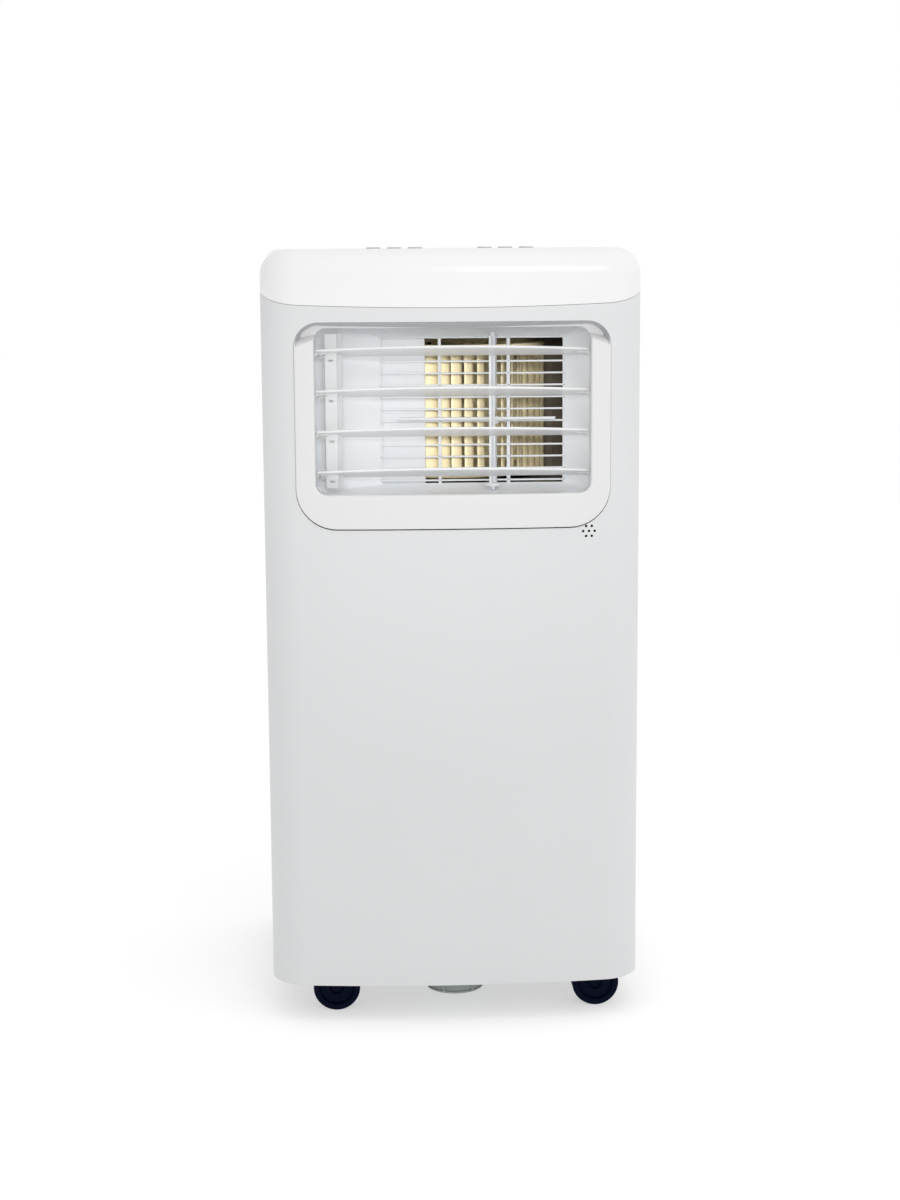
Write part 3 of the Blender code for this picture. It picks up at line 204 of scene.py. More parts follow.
def grid(points, wrap=(False, True), caps=(True, True)):
    """Faces over points[row, column]: wrap joins the last row or column to the first, caps fill end rows."""
    rows, columns = points.shape[:2]
    index = np.arange(rows * columns).reshape(rows, columns)
    if wrap[0]:
        index = np.concatenate([index, index[:1]])
    if wrap[1]:
        index = np.concatenate([index, index[:, :1]], axis=1)
    quads = np.stack([index[:-1, :-1], index[:-1, 1:], index[1:, 1:], index[1:, :-1]], axis=-1)
    faces = quads.reshape(-1, 4).tolist()
    if caps[0] and not wrap[0]:
        faces.append(index[0, :columns][::-1].tolist())
    if caps[1] and not wrap[0]:
        faces.append(index[-1, :columns].tolist())
    return points.reshape(-1, 3), faces


def lathe(profile, centre, axis, steps, closed=False):
    """A (radius, height) profile turned about an axis: radius times cosine and sine across, height along."""
    profile = np.asarray(profile, float)
    turn = np.linspace(0, 2 * np.pi, steps, endpoint=False)
    across = profile[:, 0, None] * np.cos(turn), profile[:, 0, None] * np.sin(turn)
    along = np.broadcast_to(profile[:, 1, None], across[0].shape)
    order = {"X": (along, *across), "Y": (across[1], along, across[0]), "Z": (*across, along)}[axis]
    return grid(np.stack(order, axis=-1) + np.asarray(centre), wrap=(closed, True))


def dowel(radius, start, end, centre, axis, steps):
    """A round pin: a rectangular profile turned about an axis."""
    return lathe([(0, start), (radius, start), (radius, end), (0, end)], centre, axis, steps)


def lift(loop, axis, at):
    """Puts a flat loop across an axis: X takes (y, z), Y takes (x, z) and Z takes (x, y)."""
    at = np.broadcast_to(at, len(loop))
    order = {"X": (at, loop[:, 0], loop[:, 1]), "Y": (loop[:, 0], at, loop[:, 1])}
    return np.stack(order.get(axis, (loop[:, 0], loop[:, 1], at)), axis=-1)


def prism(loop, axis, start, end, edge=0.0):
    """A flat loop carried from start to end along an axis, with its end edges rounded inwards by edge."""
    loop = np.asarray(loop, float)
    if not edge:
        return grid(np.stack([lift(loop, axis, start), lift(loop, axis, end)]))
    normal = outward(loop)
    turn = np.linspace(0, np.pi / 2, 4)
    inset = np.concatenate([edge * (1 - np.sin(turn)), edge * (1 - np.cos(turn))])
    depth = np.concatenate([start + edge * (1 - np.cos(turn)), end - edge * (1 - np.sin(turn))])
    return grid(np.stack([lift(loop - normal * i, axis, d) for i, d in zip(inset, depth)]))


def bar(start, end, half_wide, half_tall, edge):
    """A straight bar between two points on one axis: a rounded rectangle's outline carried along it."""
    start, end = np.asarray(start, float), np.asarray(end, float)
    axis = "XYZ"[int(np.argmax(np.abs(end - start)))]
    a, b = [i for i in range(3) if "XYZ"[i] != axis]
    loop = rounded(
        start[a] - half_wide, start[a] + half_wide, start[b] - half_tall, start[b] + half_tall, edge, steps=2
    )
    run = sorted((start["XYZ".index(axis)], end["XYZ".index(axis)]))
    return prism(loop, axis, *run)


def ring(loops):
    """Closed loops of equal length joined in order, and the last to the first: a solid round a hole."""
    return grid(np.stack(loops), wrap=(True, True), caps=(False, False))


# Objects


def build(name, surfaces):
    """One object from several surfaces: one mesh, with its doubles merged and its faces turned out."""
    points = np.concatenate([part[0] for part in surfaces])
    starts = np.cumsum([0] + [len(part[0]) for part in surfaces])
    faces = [[i + start for i in face] for start, part in zip(starts, surfaces) for face in part[1]]
    mesh = bpy.data.meshes.new(name)
    mesh.from_pydata(points.tolist(), [], faces)
    tidy(mesh)
    obj = bpy.data.objects.new(name, mesh)
    bpy.context.scene.collection.objects.link(obj)
    return obj


def tidy(mesh):
    """Merges doubles, drops faces without area, turns the rest outwards and shades all but sharp edges."""
    bm = bmesh.new()
    bm.from_mesh(mesh)
    bmesh.ops.remove_doubles(bm, verts=bm.verts, dist=MERGE)
    bmesh.ops.dissolve_degenerate(bm, edges=bm.edges, dist=MERGE)
    bmesh.ops.recalc_face_normals(bm, faces=bm.faces)
    bm.to_mesh(mesh)
    bm.free()
    mesh.shade_smooth()
    mesh.set_sharp_from_angle(angle=SHARP)


def bake(obj):
    """Replaces the object's mesh by what its modifiers give."""
    graph = bpy.context.evaluated_depsgraph_get()
    graph.update()
    mesh = bpy.data.meshes.new_from_object(obj.evaluated_get(graph))
    obj.modifiers.clear()
    obj.data = mesh
    tidy(mesh)
    return obj


def combine(obj, surfaces, operation):
    """Cuts or joins surfaces, each a closed solid, with the object's mesh."""
    other = build(f"{obj.name}_tool", surfaces)
    modifier = obj.modifiers.new(operation.lower(), "BOOLEAN")
    modifier.operation = operation
    modifier.object = other
    modifier.use_self = len(surfaces) > 1 and operation == "UNION"
    bake(obj)
    bpy.data.objects.remove(other, do_unlink=True)
    return obj


def cut(obj, *surfaces):
    """Takes all the surfaces away at once."""
    return combine(obj, list(surfaces), "DIFFERENCE")


def join(obj, *surfaces):
    """Adds the surfaces one after another."""
    for part in surfaces:
        combine(obj, [part], "UNION")
    return obj


def thicken(obj, wall, offset=-1.0):
    """Gives an open surface a wall on its inner side."""
    modifier = obj.modifiers.new("wall", "SOLIDIFY")
    modifier.thickness = wall
    modifier.offset = offset
    modifier.use_even_offset = True
    return bake(obj)


def soften(obj, width):
    """Rounds the sharp edges."""
    modifier = obj.modifiers.new("edges", "BEVEL")
    modifier.width = width
    modifier.segments = 2
    modifier.limit_method = "ANGLE"
    modifier.angle_limit = math.radians(40)
    return bake(obj)


def settle(obj, look, body, slot, *nodes):
    """Gives a finished piece its material and the body it rides on, and hides the nodes it stands for. The
    slot is not used.
    """
    obj.data.materials.clear()
    obj.data.materials.append(bpy.data.materials[look])
    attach(obj, body)
    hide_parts(*nodes)
    return obj


# Outlines of the cabinet


def half_plan(size):
    """Right half of the plan, front to rear, as points and normals: bow, corner, side, corner, rear."""
    half = high("top_cover", 0)
    front = low("front_panel", 1)
    rear = high("top_cover", 1)
    bow_y = front + size.bow
    sweep = math.asin((half - size.front_corner) / (size.bow - size.front_corner))
    reach = size.bow - size.front_corner
    corner = half - size.front_corner, bow_y - reach * math.cos(sweep)
    first = np.linspace(0, sweep, 29)[:-1, None]
    second = np.linspace(sweep, np.pi / 2, 17)[:, None]
    aim = [np.hstack([np.sin(a), -np.cos(a)]) for a in (first, second)]
    points = [np.array([0, bow_y]) + size.bow * aim[0], np.array(corner) + size.front_corner * aim[1]]
    side = np.linspace(corner[1], rear - size.rear_corner, 22)[1:-1]
    points.append(np.stack([np.full(len(side), half), side], axis=1))
    aim.append(np.tile([1.0, 0.0], (len(side), 1)))
    tail = arc(half - size.rear_corner, rear - size.rear_corner, size.rear_corner, 0, 90, 10)
    points.append(tail)
    aim.append((tail - [half - size.rear_corner, rear - size.rear_corner]) / size.rear_corner)
    back = np.linspace(half - size.rear_corner, 0, 12)[1:]
    points.append(np.stack([back, np.full(len(back), rear)], axis=1))
    aim.append(np.tile([0.0, 1.0], (len(back), 1)))
    return np.concatenate(points), np.concatenate(aim)


def whole_plan(size):
    """The closed plan, anticlockwise from the middle of the front: the right half and its mirror."""
    points, aim = half_plan(size)
    return (
        np.concatenate([points, (points * MIRROR)[-2:0:-1]]),
        np.concatenate([aim, (aim * MIRROR)[-2:0:-1]]),
    )


def bow_y(x, size):
    """The front's outer face at x: a circle of the bow's radius that touches the front plane."""
    return low("front_panel", 1) + size.bow - np.sqrt(size.bow**2 - np.asarray(x) ** 2)


def seam_z(y, size):
    """Height of the seam: a quarter sine from the front, then level."""
    run = np.clip((y - low("front_panel", 1)) / size.seam_run, 0, 1)
    return size.seam_front + size.seam_rise * np.sin(np.pi / 2 * run)


def shell(points, aim, bottom, top, size):
    """A wall that follows a path: the section climbs the outer face, rounds both its edges and comes back
    down the inner face, and each of its points moves in along the path's normal."""
    turn = np.linspace(0, np.pi / 2, 4)
    rows = 14
    climb = np.linspace(0, 1, rows)
    edge = size.edge
    inset = np.concatenate([edge * (1 - np.sin(turn)), np.zeros(rows - 2), edge * (1 - np.cos(turn))])
    inset = np.concatenate([inset, [size.wall, size.wall]])
    share = np.concatenate([np.zeros(4), climb[1:-1], np.ones(4), [1, 0]])
    rise = np.concatenate([edge * (1 - np.cos(turn)), np.zeros(rows - 2), edge * (np.sin(turn) - 1), [0, 0]])
    flat = points[:, None, :] - inset[None, :, None] * aim[:, None, :]
    bottom, top = (np.broadcast_to(value, len(points))[:, None] for value in (bottom, top))
    z = bottom * (1 - share) + top * share + rise
    return grid(np.concatenate([flat, z[:, :, None]], axis=2))


# Node groups and materials


def add(tree, kind, **values):
    """A node with its input sockets set by name, where an underscore stands for a space."""
    made = tree.nodes.new(kind)
    for key, value in values.items():
        made.inputs[key.replace("_", " ")].default_value = value
    return made


def feed(tree, socket, value):
    """Links a socket to another socket, or sets it to a number."""
    if isinstance(value, bpy.types.NodeSocket):
        tree.links.new(value, socket)
    else:
        socket.default_value = value


def calculate(tree, operation, *values):
    """A Math node over its values, each a socket or a number."""
    made = tree.nodes.new("ShaderNodeMath")
    made.operation = operation
    for socket, value in zip(made.inputs, values):
        feed(tree, socket, value)
    return made


def new_group(name, inputs, outputs):
    """A shader node group with float or colour inputs, and its input and output nodes."""
    group = bpy.data.node_groups.new(name, "ShaderNodeTree")
    for label, default in inputs.items():
        kind = "NodeSocketColor" if isinstance(default, tuple) else "NodeSocketFloat"
        group.interface.new_socket(name=label, in_out="INPUT", socket_type=kind).default_value = default
    for label, kind in outputs.items():
        group.interface.new_socket(name=label, in_out="OUTPUT", socket_type=kind)
    return group, group.nodes.new("NodeGroupInput"), group.nodes.new("NodeGroupOutput")


def spread(tree, factor, source, amount):
    """source plus amount times (factor - 0.5), held from 0 to 1."""
    centred = calculate(tree, "SUBTRACT", factor, 0.5)
    scaled = calculate(tree, "MULTIPLY_ADD", centred.outputs[0], amount, source)
    scaled.use_clamp = True
    return scaled.outputs[0]


def darken(tree, colour_socket, factor, amount):
    """The colour, with its value lowered by amount where factor is high."""
    scaled = calculate(tree, "MULTIPLY", factor, amount)
    mix = tree.nodes.new("ShaderNodeMix")
    mix.data_type = "RGBA"
    mix.blend_type = "MULTIPLY"
    mix.inputs["B"].default_value = (0.0, 0.0, 0.0, 1.0)
    tree.links.new(scaled.outputs[0], mix.inputs["Factor"])
    tree.links.new(colour_socket, mix.inputs["A"])
    return mix.outputs["Result"]


def bump(tree, height, strength, distance):
    """The normal of a surface that a height socket raises by up to a distance."""
    made = add(tree, "ShaderNodeBump", Distance=distance)
    tree.links.new(height, made.inputs["Height"])
    feed(tree, made.inputs["Strength"], strength)
    return made.outputs["Normal"]


def object_noise(tree, scale, detail, stretch=None):
    """Noise on object coordinates; stretch squeezes the pattern along an axis."""
    place = tree.nodes.new("ShaderNodeTexCoord").outputs["Object"]
    if stretch:
        mapping = add(tree, "ShaderNodeMapping", Scale=stretch)
        tree.links.new(place, mapping.inputs["Vector"])
        place = mapping.outputs["Vector"]
    noise = add(tree, "ShaderNodeTexNoise", Detail=detail)
    tree.links.new(place, noise.inputs["Vector"])
    feed(tree, noise.inputs["Scale"], scale)
    return noise.outputs["Fac"]


def wave(tree, axis, pitch):
    """A triangle wave along an object axis: from 0 to 0.5 and back over each pitch."""
    place = tree.nodes.new("ShaderNodeTexCoord").outputs["Object"]
    parts = tree.nodes.new("ShaderNodeSeparateXYZ")
    tree.links.new(place, parts.inputs[0])
    share = calculate(tree, "DIVIDE", parts.outputs[axis], pitch)
    return calculate(tree, "PINGPONG", share.outputs[0], 0.5).outputs[0]


SURFACE_OUT = {"Color": "NodeSocketColor", "Roughness": "NodeSocketFloat", "Normal": "NodeSocketVector"}


def moulded_group():
    """Moulded plastic: a fine grain in the surface, and slow drifts of tone and gloss."""
    group, given, out = new_group(
        "moulded_plastic",
        {"Color": (0.8, 0.8, 0.8, 1), "Roughness": 0.4, "Grain Scale": 1800.0, "Grain": 0.2, "Drift": 0.03},
        SURFACE_OUT,
    )
    links = group.links
    slow = object_noise(group, 9.0, 2.0)
    fine = object_noise(group, given.outputs["Grain Scale"], 2.0)
    links.new(darken(group, given.outputs["Color"], slow, given.outputs["Drift"]), out.inputs["Color"])
    links.new(
        spread(group, fine, given.outputs["Roughness"], given.outputs["Grain"]), out.inputs["Roughness"]
    )
    links.new(bump(group, fine, given.outputs["Grain"], 0.00006), out.inputs["Normal"])


def drawn_group():
    """Drawn or brushed metal: streaks along one axis in tone, gloss and height."""
    group, given, out = new_group(
        "drawn_metal",
        {"Color": (0.7, 0.7, 0.7, 1), "Roughness": 0.35, "Streaks": 0.25, "Tarnish": 0.15},
        SURFACE_OUT,
    )
    links = group.links
    streaks = object_noise(group, 420.0, 4.0, (1.0, 1.0, 0.04))
    blotches = object_noise(group, 38.0, 3.0)
    links.new(darken(group, given.outputs["Color"], blotches, given.outputs["Tarnish"]), out.inputs["Color"])
    links.new(
        spread(group, streaks, given.outputs["Roughness"], given.outputs["Streaks"]), out.inputs["Roughness"]
    )
    links.new(bump(group, streaks, given.outputs["Streaks"], 0.00008), out.inputs["Normal"])


def lattice_group():
    """A square lattice of threads on two object axes: lines of colour, height and gaps between."""
    group, given, out = new_group(
        "lattice",
        {"Color": (0.2, 0.2, 0.2, 1), "Gap Color": (0.02, 0.02, 0.02, 1), "Pitch": 0.0016, "Roughness": 0.7},
        SURFACE_OUT,
    )
    links = group.links
    waves = [wave(group, axis, given.outputs["Pitch"]) for axis in ("X", "Z")]
    thread = calculate(group, "MAXIMUM", *waves)
    step = add(group, "ShaderNodeMapRange", From_Min=0.28, From_Max=0.38)
    links.new(thread.outputs[0], step.inputs["Value"])
    mix = group.nodes.new("ShaderNodeMix")
    mix.data_type = "RGBA"
    links.new(step.outputs[0], mix.inputs["Factor"])
    links.new(given.outputs["Gap Color"], mix.inputs["A"])
    links.new(given.outputs["Color"], mix.inputs["B"])
    links.new(mix.outputs["Result"], out.inputs["Color"])
    links.new(given.outputs["Roughness"], out.inputs["Roughness"])
    links.new(bump(group, step.outputs[0], 0.8, 0.0003), out.inputs["Normal"])


def fins_group():
    """Packed fins: a fast wave across X that alternates bright edges and dark gaps; the dark in the gaps is
    painted shade between the fins.
    """
    group, given, out = new_group(
        "coil_fins",
        {"Color": (0.75, 0.76, 0.77, 1), "Pitch": 0.0018, "Roughness": 0.35, "Depth": 0.8},
        SURFACE_OUT,
    )
    links = group.links
    fins = wave(group, "X", given.outputs["Pitch"])
    # Painted shade: the gaps between fins are darkened by the Depth input, which also sets the bump
    gap = add(group, "ShaderNodeMapRange", From_Min=0.16, From_Max=0.30, To_Min=1.0, To_Max=0.0)
    links.new(fins, gap.inputs["Value"])
    painted_gap_shade = darken(group, given.outputs["Color"], gap.outputs[0], given.outputs["Depth"])
    links.new(painted_gap_shade, out.inputs["Color"])
    links.new(given.outputs["Roughness"], out.inputs["Roughness"])
    links.new(bump(group, fins, given.outputs["Depth"], 0.0006), out.inputs["Normal"])


def finish(name, group, metallic=0.0, coat=0.0, specular=0.5, **values):
    """A Principled material whose colour, roughness and normal come from one of the groups."""
    made = bpy.data.materials.new(name)
    made.use_nodes = True
    tree = made.node_tree
    shader = tree.nodes["Principled BSDF"]
    shader.inputs["Metallic"].default_value = metallic
    shader.inputs["Coat Weight"].default_value = coat
    shader.inputs["Coat Roughness"].default_value = 0.08
    shader.inputs["Specular IOR Level"].default_value = specular
    source = tree.nodes.new("ShaderNodeGroup")
    source.node_tree = bpy.data.node_groups[group]
    for key, value in values.items():
        socket = source.inputs[key.replace("_", " ")]
        socket.default_value = (*value, 1.0) if hasattr(value, "__len__") else value
    tree.links.new(source.outputs["Color"], shader.inputs["Base Color"])
    tree.links.new(source.outputs["Roughness"], shader.inputs["Roughness"])
    tree.links.new(source.outputs["Normal"], shader.inputs["Normal"])
    made.diffuse_color = (*values["Color"], 1.0)


def lens_material():
    """Smoked display lens: near black, very smooth, with a faint smear in its gloss."""
    made = bpy.data.materials.new("display_lens")
    made.use_nodes = True
    tree = made.node_tree
    shader = tree.nodes["Principled BSDF"]
    shader.inputs["Base Color"].default_value = (0.012, 0.013, 0.016, 1.0)
    shader.inputs["Coat Weight"].default_value = 0.6
    smear = object_noise(tree, 60.0, 3.0)
    step = add(tree, "ShaderNodeMapRange", To_Min=0.05, To_Max=0.14)
    tree.links.new(smear, step.inputs["Value"])
    tree.links.new(step.outputs[0], shader.inputs["Roughness"])


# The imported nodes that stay, and the material of each
CARRIED = {
    "base_pan": "base_plastic",
    "partition_tray": "tray_plastic",
    "louvre_motor": "zinc",
    "blower_motor": "zinc",
    "condenser_motor": "zinc",
    "blower_volute": "scroll_lining",
    "volute_cover": "scroll_lining",
    "condenser_fan_housing": "scroll_lining",
    "condenser_fan_cover": "scroll_lining",
    "evaporator_coil": "coil",
    "condenser_coil": "coil",
    "compressor": "enamel",
    "condenser_fan": "enamel",
    "discharge_pipe": "copper_tube",
    "suction_pipe": "copper_tube",
    "capillary_tube": "copper_tube",
    "control_board": "solder_mask",
    # The sensor is near black: painted shade seen through the front panel's holes
    "room_sensor": "sensor_black",
    "electrical_box": "galvanised",
    "upper_air_filter": "filter_mesh",
    "lower_air_filter": "filter_mesh",
}


class COOLER_OT_finishes(bpy.types.Operator):
    """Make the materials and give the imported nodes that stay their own"""

    bl_idname = "cooler.finishes"
    bl_label = "Finishes"

    def execute(self, context):
        tint = context.scene.cooler_colours
        moulded_group()
        drawn_group()
        lattice_group()
        fins_group()
        plastic = "moulded_plastic"
        finish("lid_gloss", plastic, coat=0.35, Color=tint.lid, Roughness=0.22, Grain=0.03, Drift=0.015)
        finish("panel_satin", plastic, Color=tint.panel, Roughness=0.42, Grain=0.16, Drift=0.025)
        finish("bezel_satin", plastic, coat=0.15, Color=tint.bezel, Roughness=0.32, Grain=0.06, Drift=0.015)
        # Painted shade for the chamfer along the top of the outlet frame
        finish("bezel_shade", plastic, Color=tint.shade, Roughness=0.40, Grain=0.06, Drift=0.015)
        finish("louvre_white", plastic, coat=0.15, Color=tint.louvre, Roughness=0.32, Grain=0.06, Drift=0.015)
        finish("duct_satin", plastic, Color=tint.duct, Roughness=0.50, Grain=0.12, Drift=0.03)
        finish("wheel_plastic", plastic, Color=tint.wheel, Roughness=0.48, Grain=0.14, Drift=0.12)
        finish("button_plastic", plastic, Color=(0.52, 0.53, 0.55), Roughness=0.45, Grain=0.12, Drift=0.03)
        finish(
            "caster_nylon", plastic, specular=0.06, Color=tint.caster, Roughness=0.5, Grain=0.08, Drift=0.2
        )
        finish("cap_plastic", plastic, Color=tint.cap, Roughness=0.45, Grain=0.2, Drift=0.12)
        finish("base_plastic", plastic, Color=(0.30, 0.31, 0.32), Roughness=0.55, Grain=0.25, Drift=0.12)
        finish("tray_plastic", plastic, Color=(0.78, 0.78, 0.76), Roughness=0.75, Grain=0.45, Drift=0.08)
        # Dark brown: partly the housings' plastic, partly painted shade inside the deep scroll
        finish("scroll_lining", plastic, Color=tint.scroll, Roughness=0.65, Grain=0.3, Drift=0.2)
        finish("enamel", plastic, coat=0.2, Color=(0.02, 0.02, 0.022), Roughness=0.35, Grain=0.12, Drift=0.2)
        finish(
            "solder_mask", plastic, coat=0.2, Color=(0.02, 0.16, 0.06), Roughness=0.35, Grain=0.2, Drift=0.3
        )
        finish("zinc", "drawn_metal", metallic=0.85, Color=(0.45, 0.46, 0.47), Roughness=0.38)
        finish("galvanised", "drawn_metal", metallic=0.8, Color=(0.60, 0.61, 0.62), Tarnish=0.35)
        finish(
            "copper_tube", "drawn_metal", metallic=1.0, Color=(0.78, 0.38, 0.22), Roughness=0.30, Tarnish=0.4
        )
        finish("coil", "coil_fins", metallic=0.9, Color=(0.78, 0.79, 0.80))
        finish("filter_mesh", "lattice", Color=(0.10, 0.11, 0.12))
        # Near black, so the sensor holes in the front panel read dark: painted shade seen through the holes
        finish("sensor_black", plastic, specular=0.2, Color=(0.01, 0.01, 0.012), Roughness=0.6, Grain=0.1)
        lens_material()
        for node, look in CARRIED.items():
            slots = frame["nodes"][node].data.materials
            slots.clear()
            slots.append(bpy.data.materials[look])
        return {"FINISHED"}


# Cabinet


def plate_hole(loop, axis, at, reach):
    """A straight cutter through a wall at a place along an axis."""
    return prism(loop, axis, at - reach, at + reach)


class COOLER_OT_front_panel(bpy.types.Operator):
    """Build the bowed front panel with the outlet's opening and the seven sensor holes"""

    bl_idname = "cooler.front_panel"
    bl_label = "Front panel"

    def execute(self, context):
        size = context.scene.cooler_sizes
        points, aim = half_plan(size)
        split = high("front_panel", 1)
        keep = points[:, 1] < split - 0.001
        points = np.concatenate([points[keep], [[high("front_panel", 0), split]]])
        aim = np.concatenate([aim[keep], [[1.0, 0.0]]])
        points = np.concatenate([(points * MIRROR)[:0:-1], points])
        aim = np.concatenate([(aim * MIRROR)[:0:-1], aim])
        top = seam_z(points[:, 1], size) - size.seam_gap / 2
        panel = build("front_panel_shell", [shell(points, aim, low("front_panel", 2), top, size)])
        gap = 0.2 * MM
        (x0, _, z0), (x1, _, z1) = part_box("outlet_bezel")
        opening = rounded(x0 - gap, x1 + gap, z0 - 5 * gap, z1 + gap, 35 * MM, 21 * MM, 12)
        cut(panel, plate_hole(opening, "Y", low("front_panel", 1), 0.03))
        ring_x, ring_z, pitch = 116.5 * MM, 437.5 * MM, 5.0 * MM
        turn = np.radians(np.arange(0, 360, 60))
        spots = np.stack([ring_x + pitch * np.cos(turn), ring_z + pitch * np.sin(turn)], axis=1)
        spots = np.concatenate([[[ring_x, ring_z]], spots])
        cut(panel, *[plate_hole(circle(x, z, 1.2 * MM, 12), "Y", -147 * MM, 10 * MM) for x, z in spots])
        settle(panel, "panel_satin", HOUSING, "satin_white", "front_panel")
        return {"FINISHED"}


class COOLER_OT_rear_casing(bpy.types.Operator):
    """Build the rear casing with its hand holds, grille windows, filter slots and ports"""

    bl_idname = "cooler.rear_casing"
    bl_label = "Rear casing"

    def execute(self, context):
        size = context.scene.cooler_sizes
        points, aim = half_plan(size)
        split = low("rear_casing", 1)
        keep = points[:, 1] > split + 0.001
        points = np.concatenate([[[high("rear_casing", 0), split]], points[keep]])
        aim = np.concatenate([[[1.0, 0.0]], aim[keep]])
        points = np.concatenate([points, (points * MIRROR)[-2::-1]])
        aim = np.concatenate([aim, (aim * MIRROR)[-2::-1]])
        top = seam_z(points[:, 1], size) - size.seam_gap / 2
        casing = build("rear_casing_shell", [shell(points, aim, low("rear_casing", 2), top, size)])
        rear, side, gap = high("rear_casing", 1), high("rear_casing", 0), 0.4 * MM
        holes = []
        for node in ("upper_inlet_grille", "lower_inlet_grille"):
            (x0, _, z0), (x1, _, z1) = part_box(node)
            holes.append(plate_hole(rounded(x0 - gap, x1 + gap, z0 - gap, z1 + gap, 8 * MM), "Y", rear, 0.01))
        for node, room in (("exhaust_collar", 0.5 * MM), ("cord_gland", gap), ("drain_plug", gap)):
            radius = (high(node, 0) - low(node, 0)) / 2 + room
            loop = circle(middle(node, 0), middle(node, 2), radius, 60)
            holes.append(plate_hole(loop, "Y", rear, 0.01))
        for node in ("upper_air_filter", "lower_air_filter"):
            (_, y0, z0), (_, y1, z1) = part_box(node)
            loop = rounded(y0 - gap, y1 + gap, z0 - 2 * gap, z1 + 2 * gap, 0.3 * MM, steps=2)
            holes.append(plate_hole(loop, "X", side, 0.01))
        cut(casing, *holes)
        cut(casing, plate_hole(hand_loop(0.0), "X", 0.0, side + 0.01))
        settle(casing, "panel_satin", HOUSING, "satin_white", "rear_casing")
        return {"FINISHED"}


def hand_loop(inset):
    """The outline of a hand hold in (y, z), moved in by inset."""
    y0, y1, z0, z1 = HAND_HOLD
    return rounded(y0 + inset, y1 - inset, z0 + inset, z1 - inset, 10 * MM - inset, steps=8)


class COOLER_OT_hand_holds(bpy.types.Operator):
    """Build the pocket behind each side's hand hold"""

    bl_idname = "cooler.hand_holds"
    bl_label = "Hand holds"

    def execute(self, context):
        wall, draft, fillet = 1.8 * MM, 3.4 * MM, 5 * MM
        mouth = high("right_handle_cup", 0)
        back = low("right_handle_cup", 0) + wall
        for node, side in (("left_handle_cup", -1), ("right_handle_cup", 1)):
            turn = np.linspace(0, np.pi / 2, 7)
            inset = np.concatenate([[0, draft], draft + fillet * (1 - np.cos(turn[1:]))])
            depth = np.concatenate([[mouth, back + fillet], back + fillet * (1 - np.sin(turn[1:]))])
            rows = [lift(hand_loop(i), "X", side * x) for i, x in zip(inset, depth)]
            cup = build(f"{node}_pocket", [grid(np.stack(rows), caps=(False, True))])
            first = cup.data.polygons[0]
            faces_out = first.normal.z * (first.center.z - (HAND_HOLD[2] + HAND_HOLD[3]) / 2) > 0
            thicken(cup, wall, 1.0 if faces_out else -1.0)
            settle(cup, "panel_satin", HOUSING, "satin_white", node)
        return {"FINISHED"}


class COOLER_OT_lid(bpy.types.Operator):
    """Build the glossy lid with its rounded edge and the control panel's opening"""

    bl_idname = "cooler.lid"
    bl_label = "Lid"

    def execute(self, context):
        size = context.scene.cooler_sizes
        points, aim = whole_plan(size)
        top = high("top_cover", 2)
        seam = seam_z(points[:, 1], size) + size.seam_gap / 2
        blend = eased((points[:, 1] + 0.05) / 0.10)
        radius = size.top_front + (size.top_rear - size.top_front) * blend
        rows = []
        for a in np.linspace(0, np.pi / 2, 4):
            inset = size.edge * (1 - np.sin(a))
            rows.append(np.column_stack([points - inset * aim, seam + size.edge * (1 - np.cos(a))]))
        rows.append(np.column_stack([points, seam + (top - radius - seam) * 0.5]))
        for a in np.linspace(0, np.pi / 2, 15):
            inset = (radius * (1 - np.cos(a)))[:, None]
            rows.append(np.column_stack([points - inset * aim, top - radius * (1 - np.sin(a))]))
        lid = build("lid_shell", [grid(np.stack(rows), caps=(False, True))])
        thicken(lid, size.wall)
        (x0, y0, _), (x1, y1, _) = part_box("control_panel")
        gap = 0.4 * MM
        opening = rounded(x0 - gap, x1 + gap, y0 - gap, y1 + gap, 8 * MM, steps=8)
        cut(lid, plate_hole(opening, "Z", top, 0.01))
        settle(lid, "lid_gloss", HOUSING, "gloss_white", "top_cover")
        return {"FINISHED"}


# Air outlet


def outlet_loops():
    """The bezel's outer and inner outlines in (x, z), with as many points each."""
    (x0, _, z0), (x1, _, z1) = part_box("outlet_bezel")
    half, bottom, top, corner = 118 * MM, 471 * MM, 612.5 * MM, 10 * MM
    steps, along = 10, 24
    outer = rounded(x0, x1, z0, z1, *BEZEL_CORNERS, steps, along)
    return outer, rounded(-half, half, bottom, top, corner, corner, steps, along)


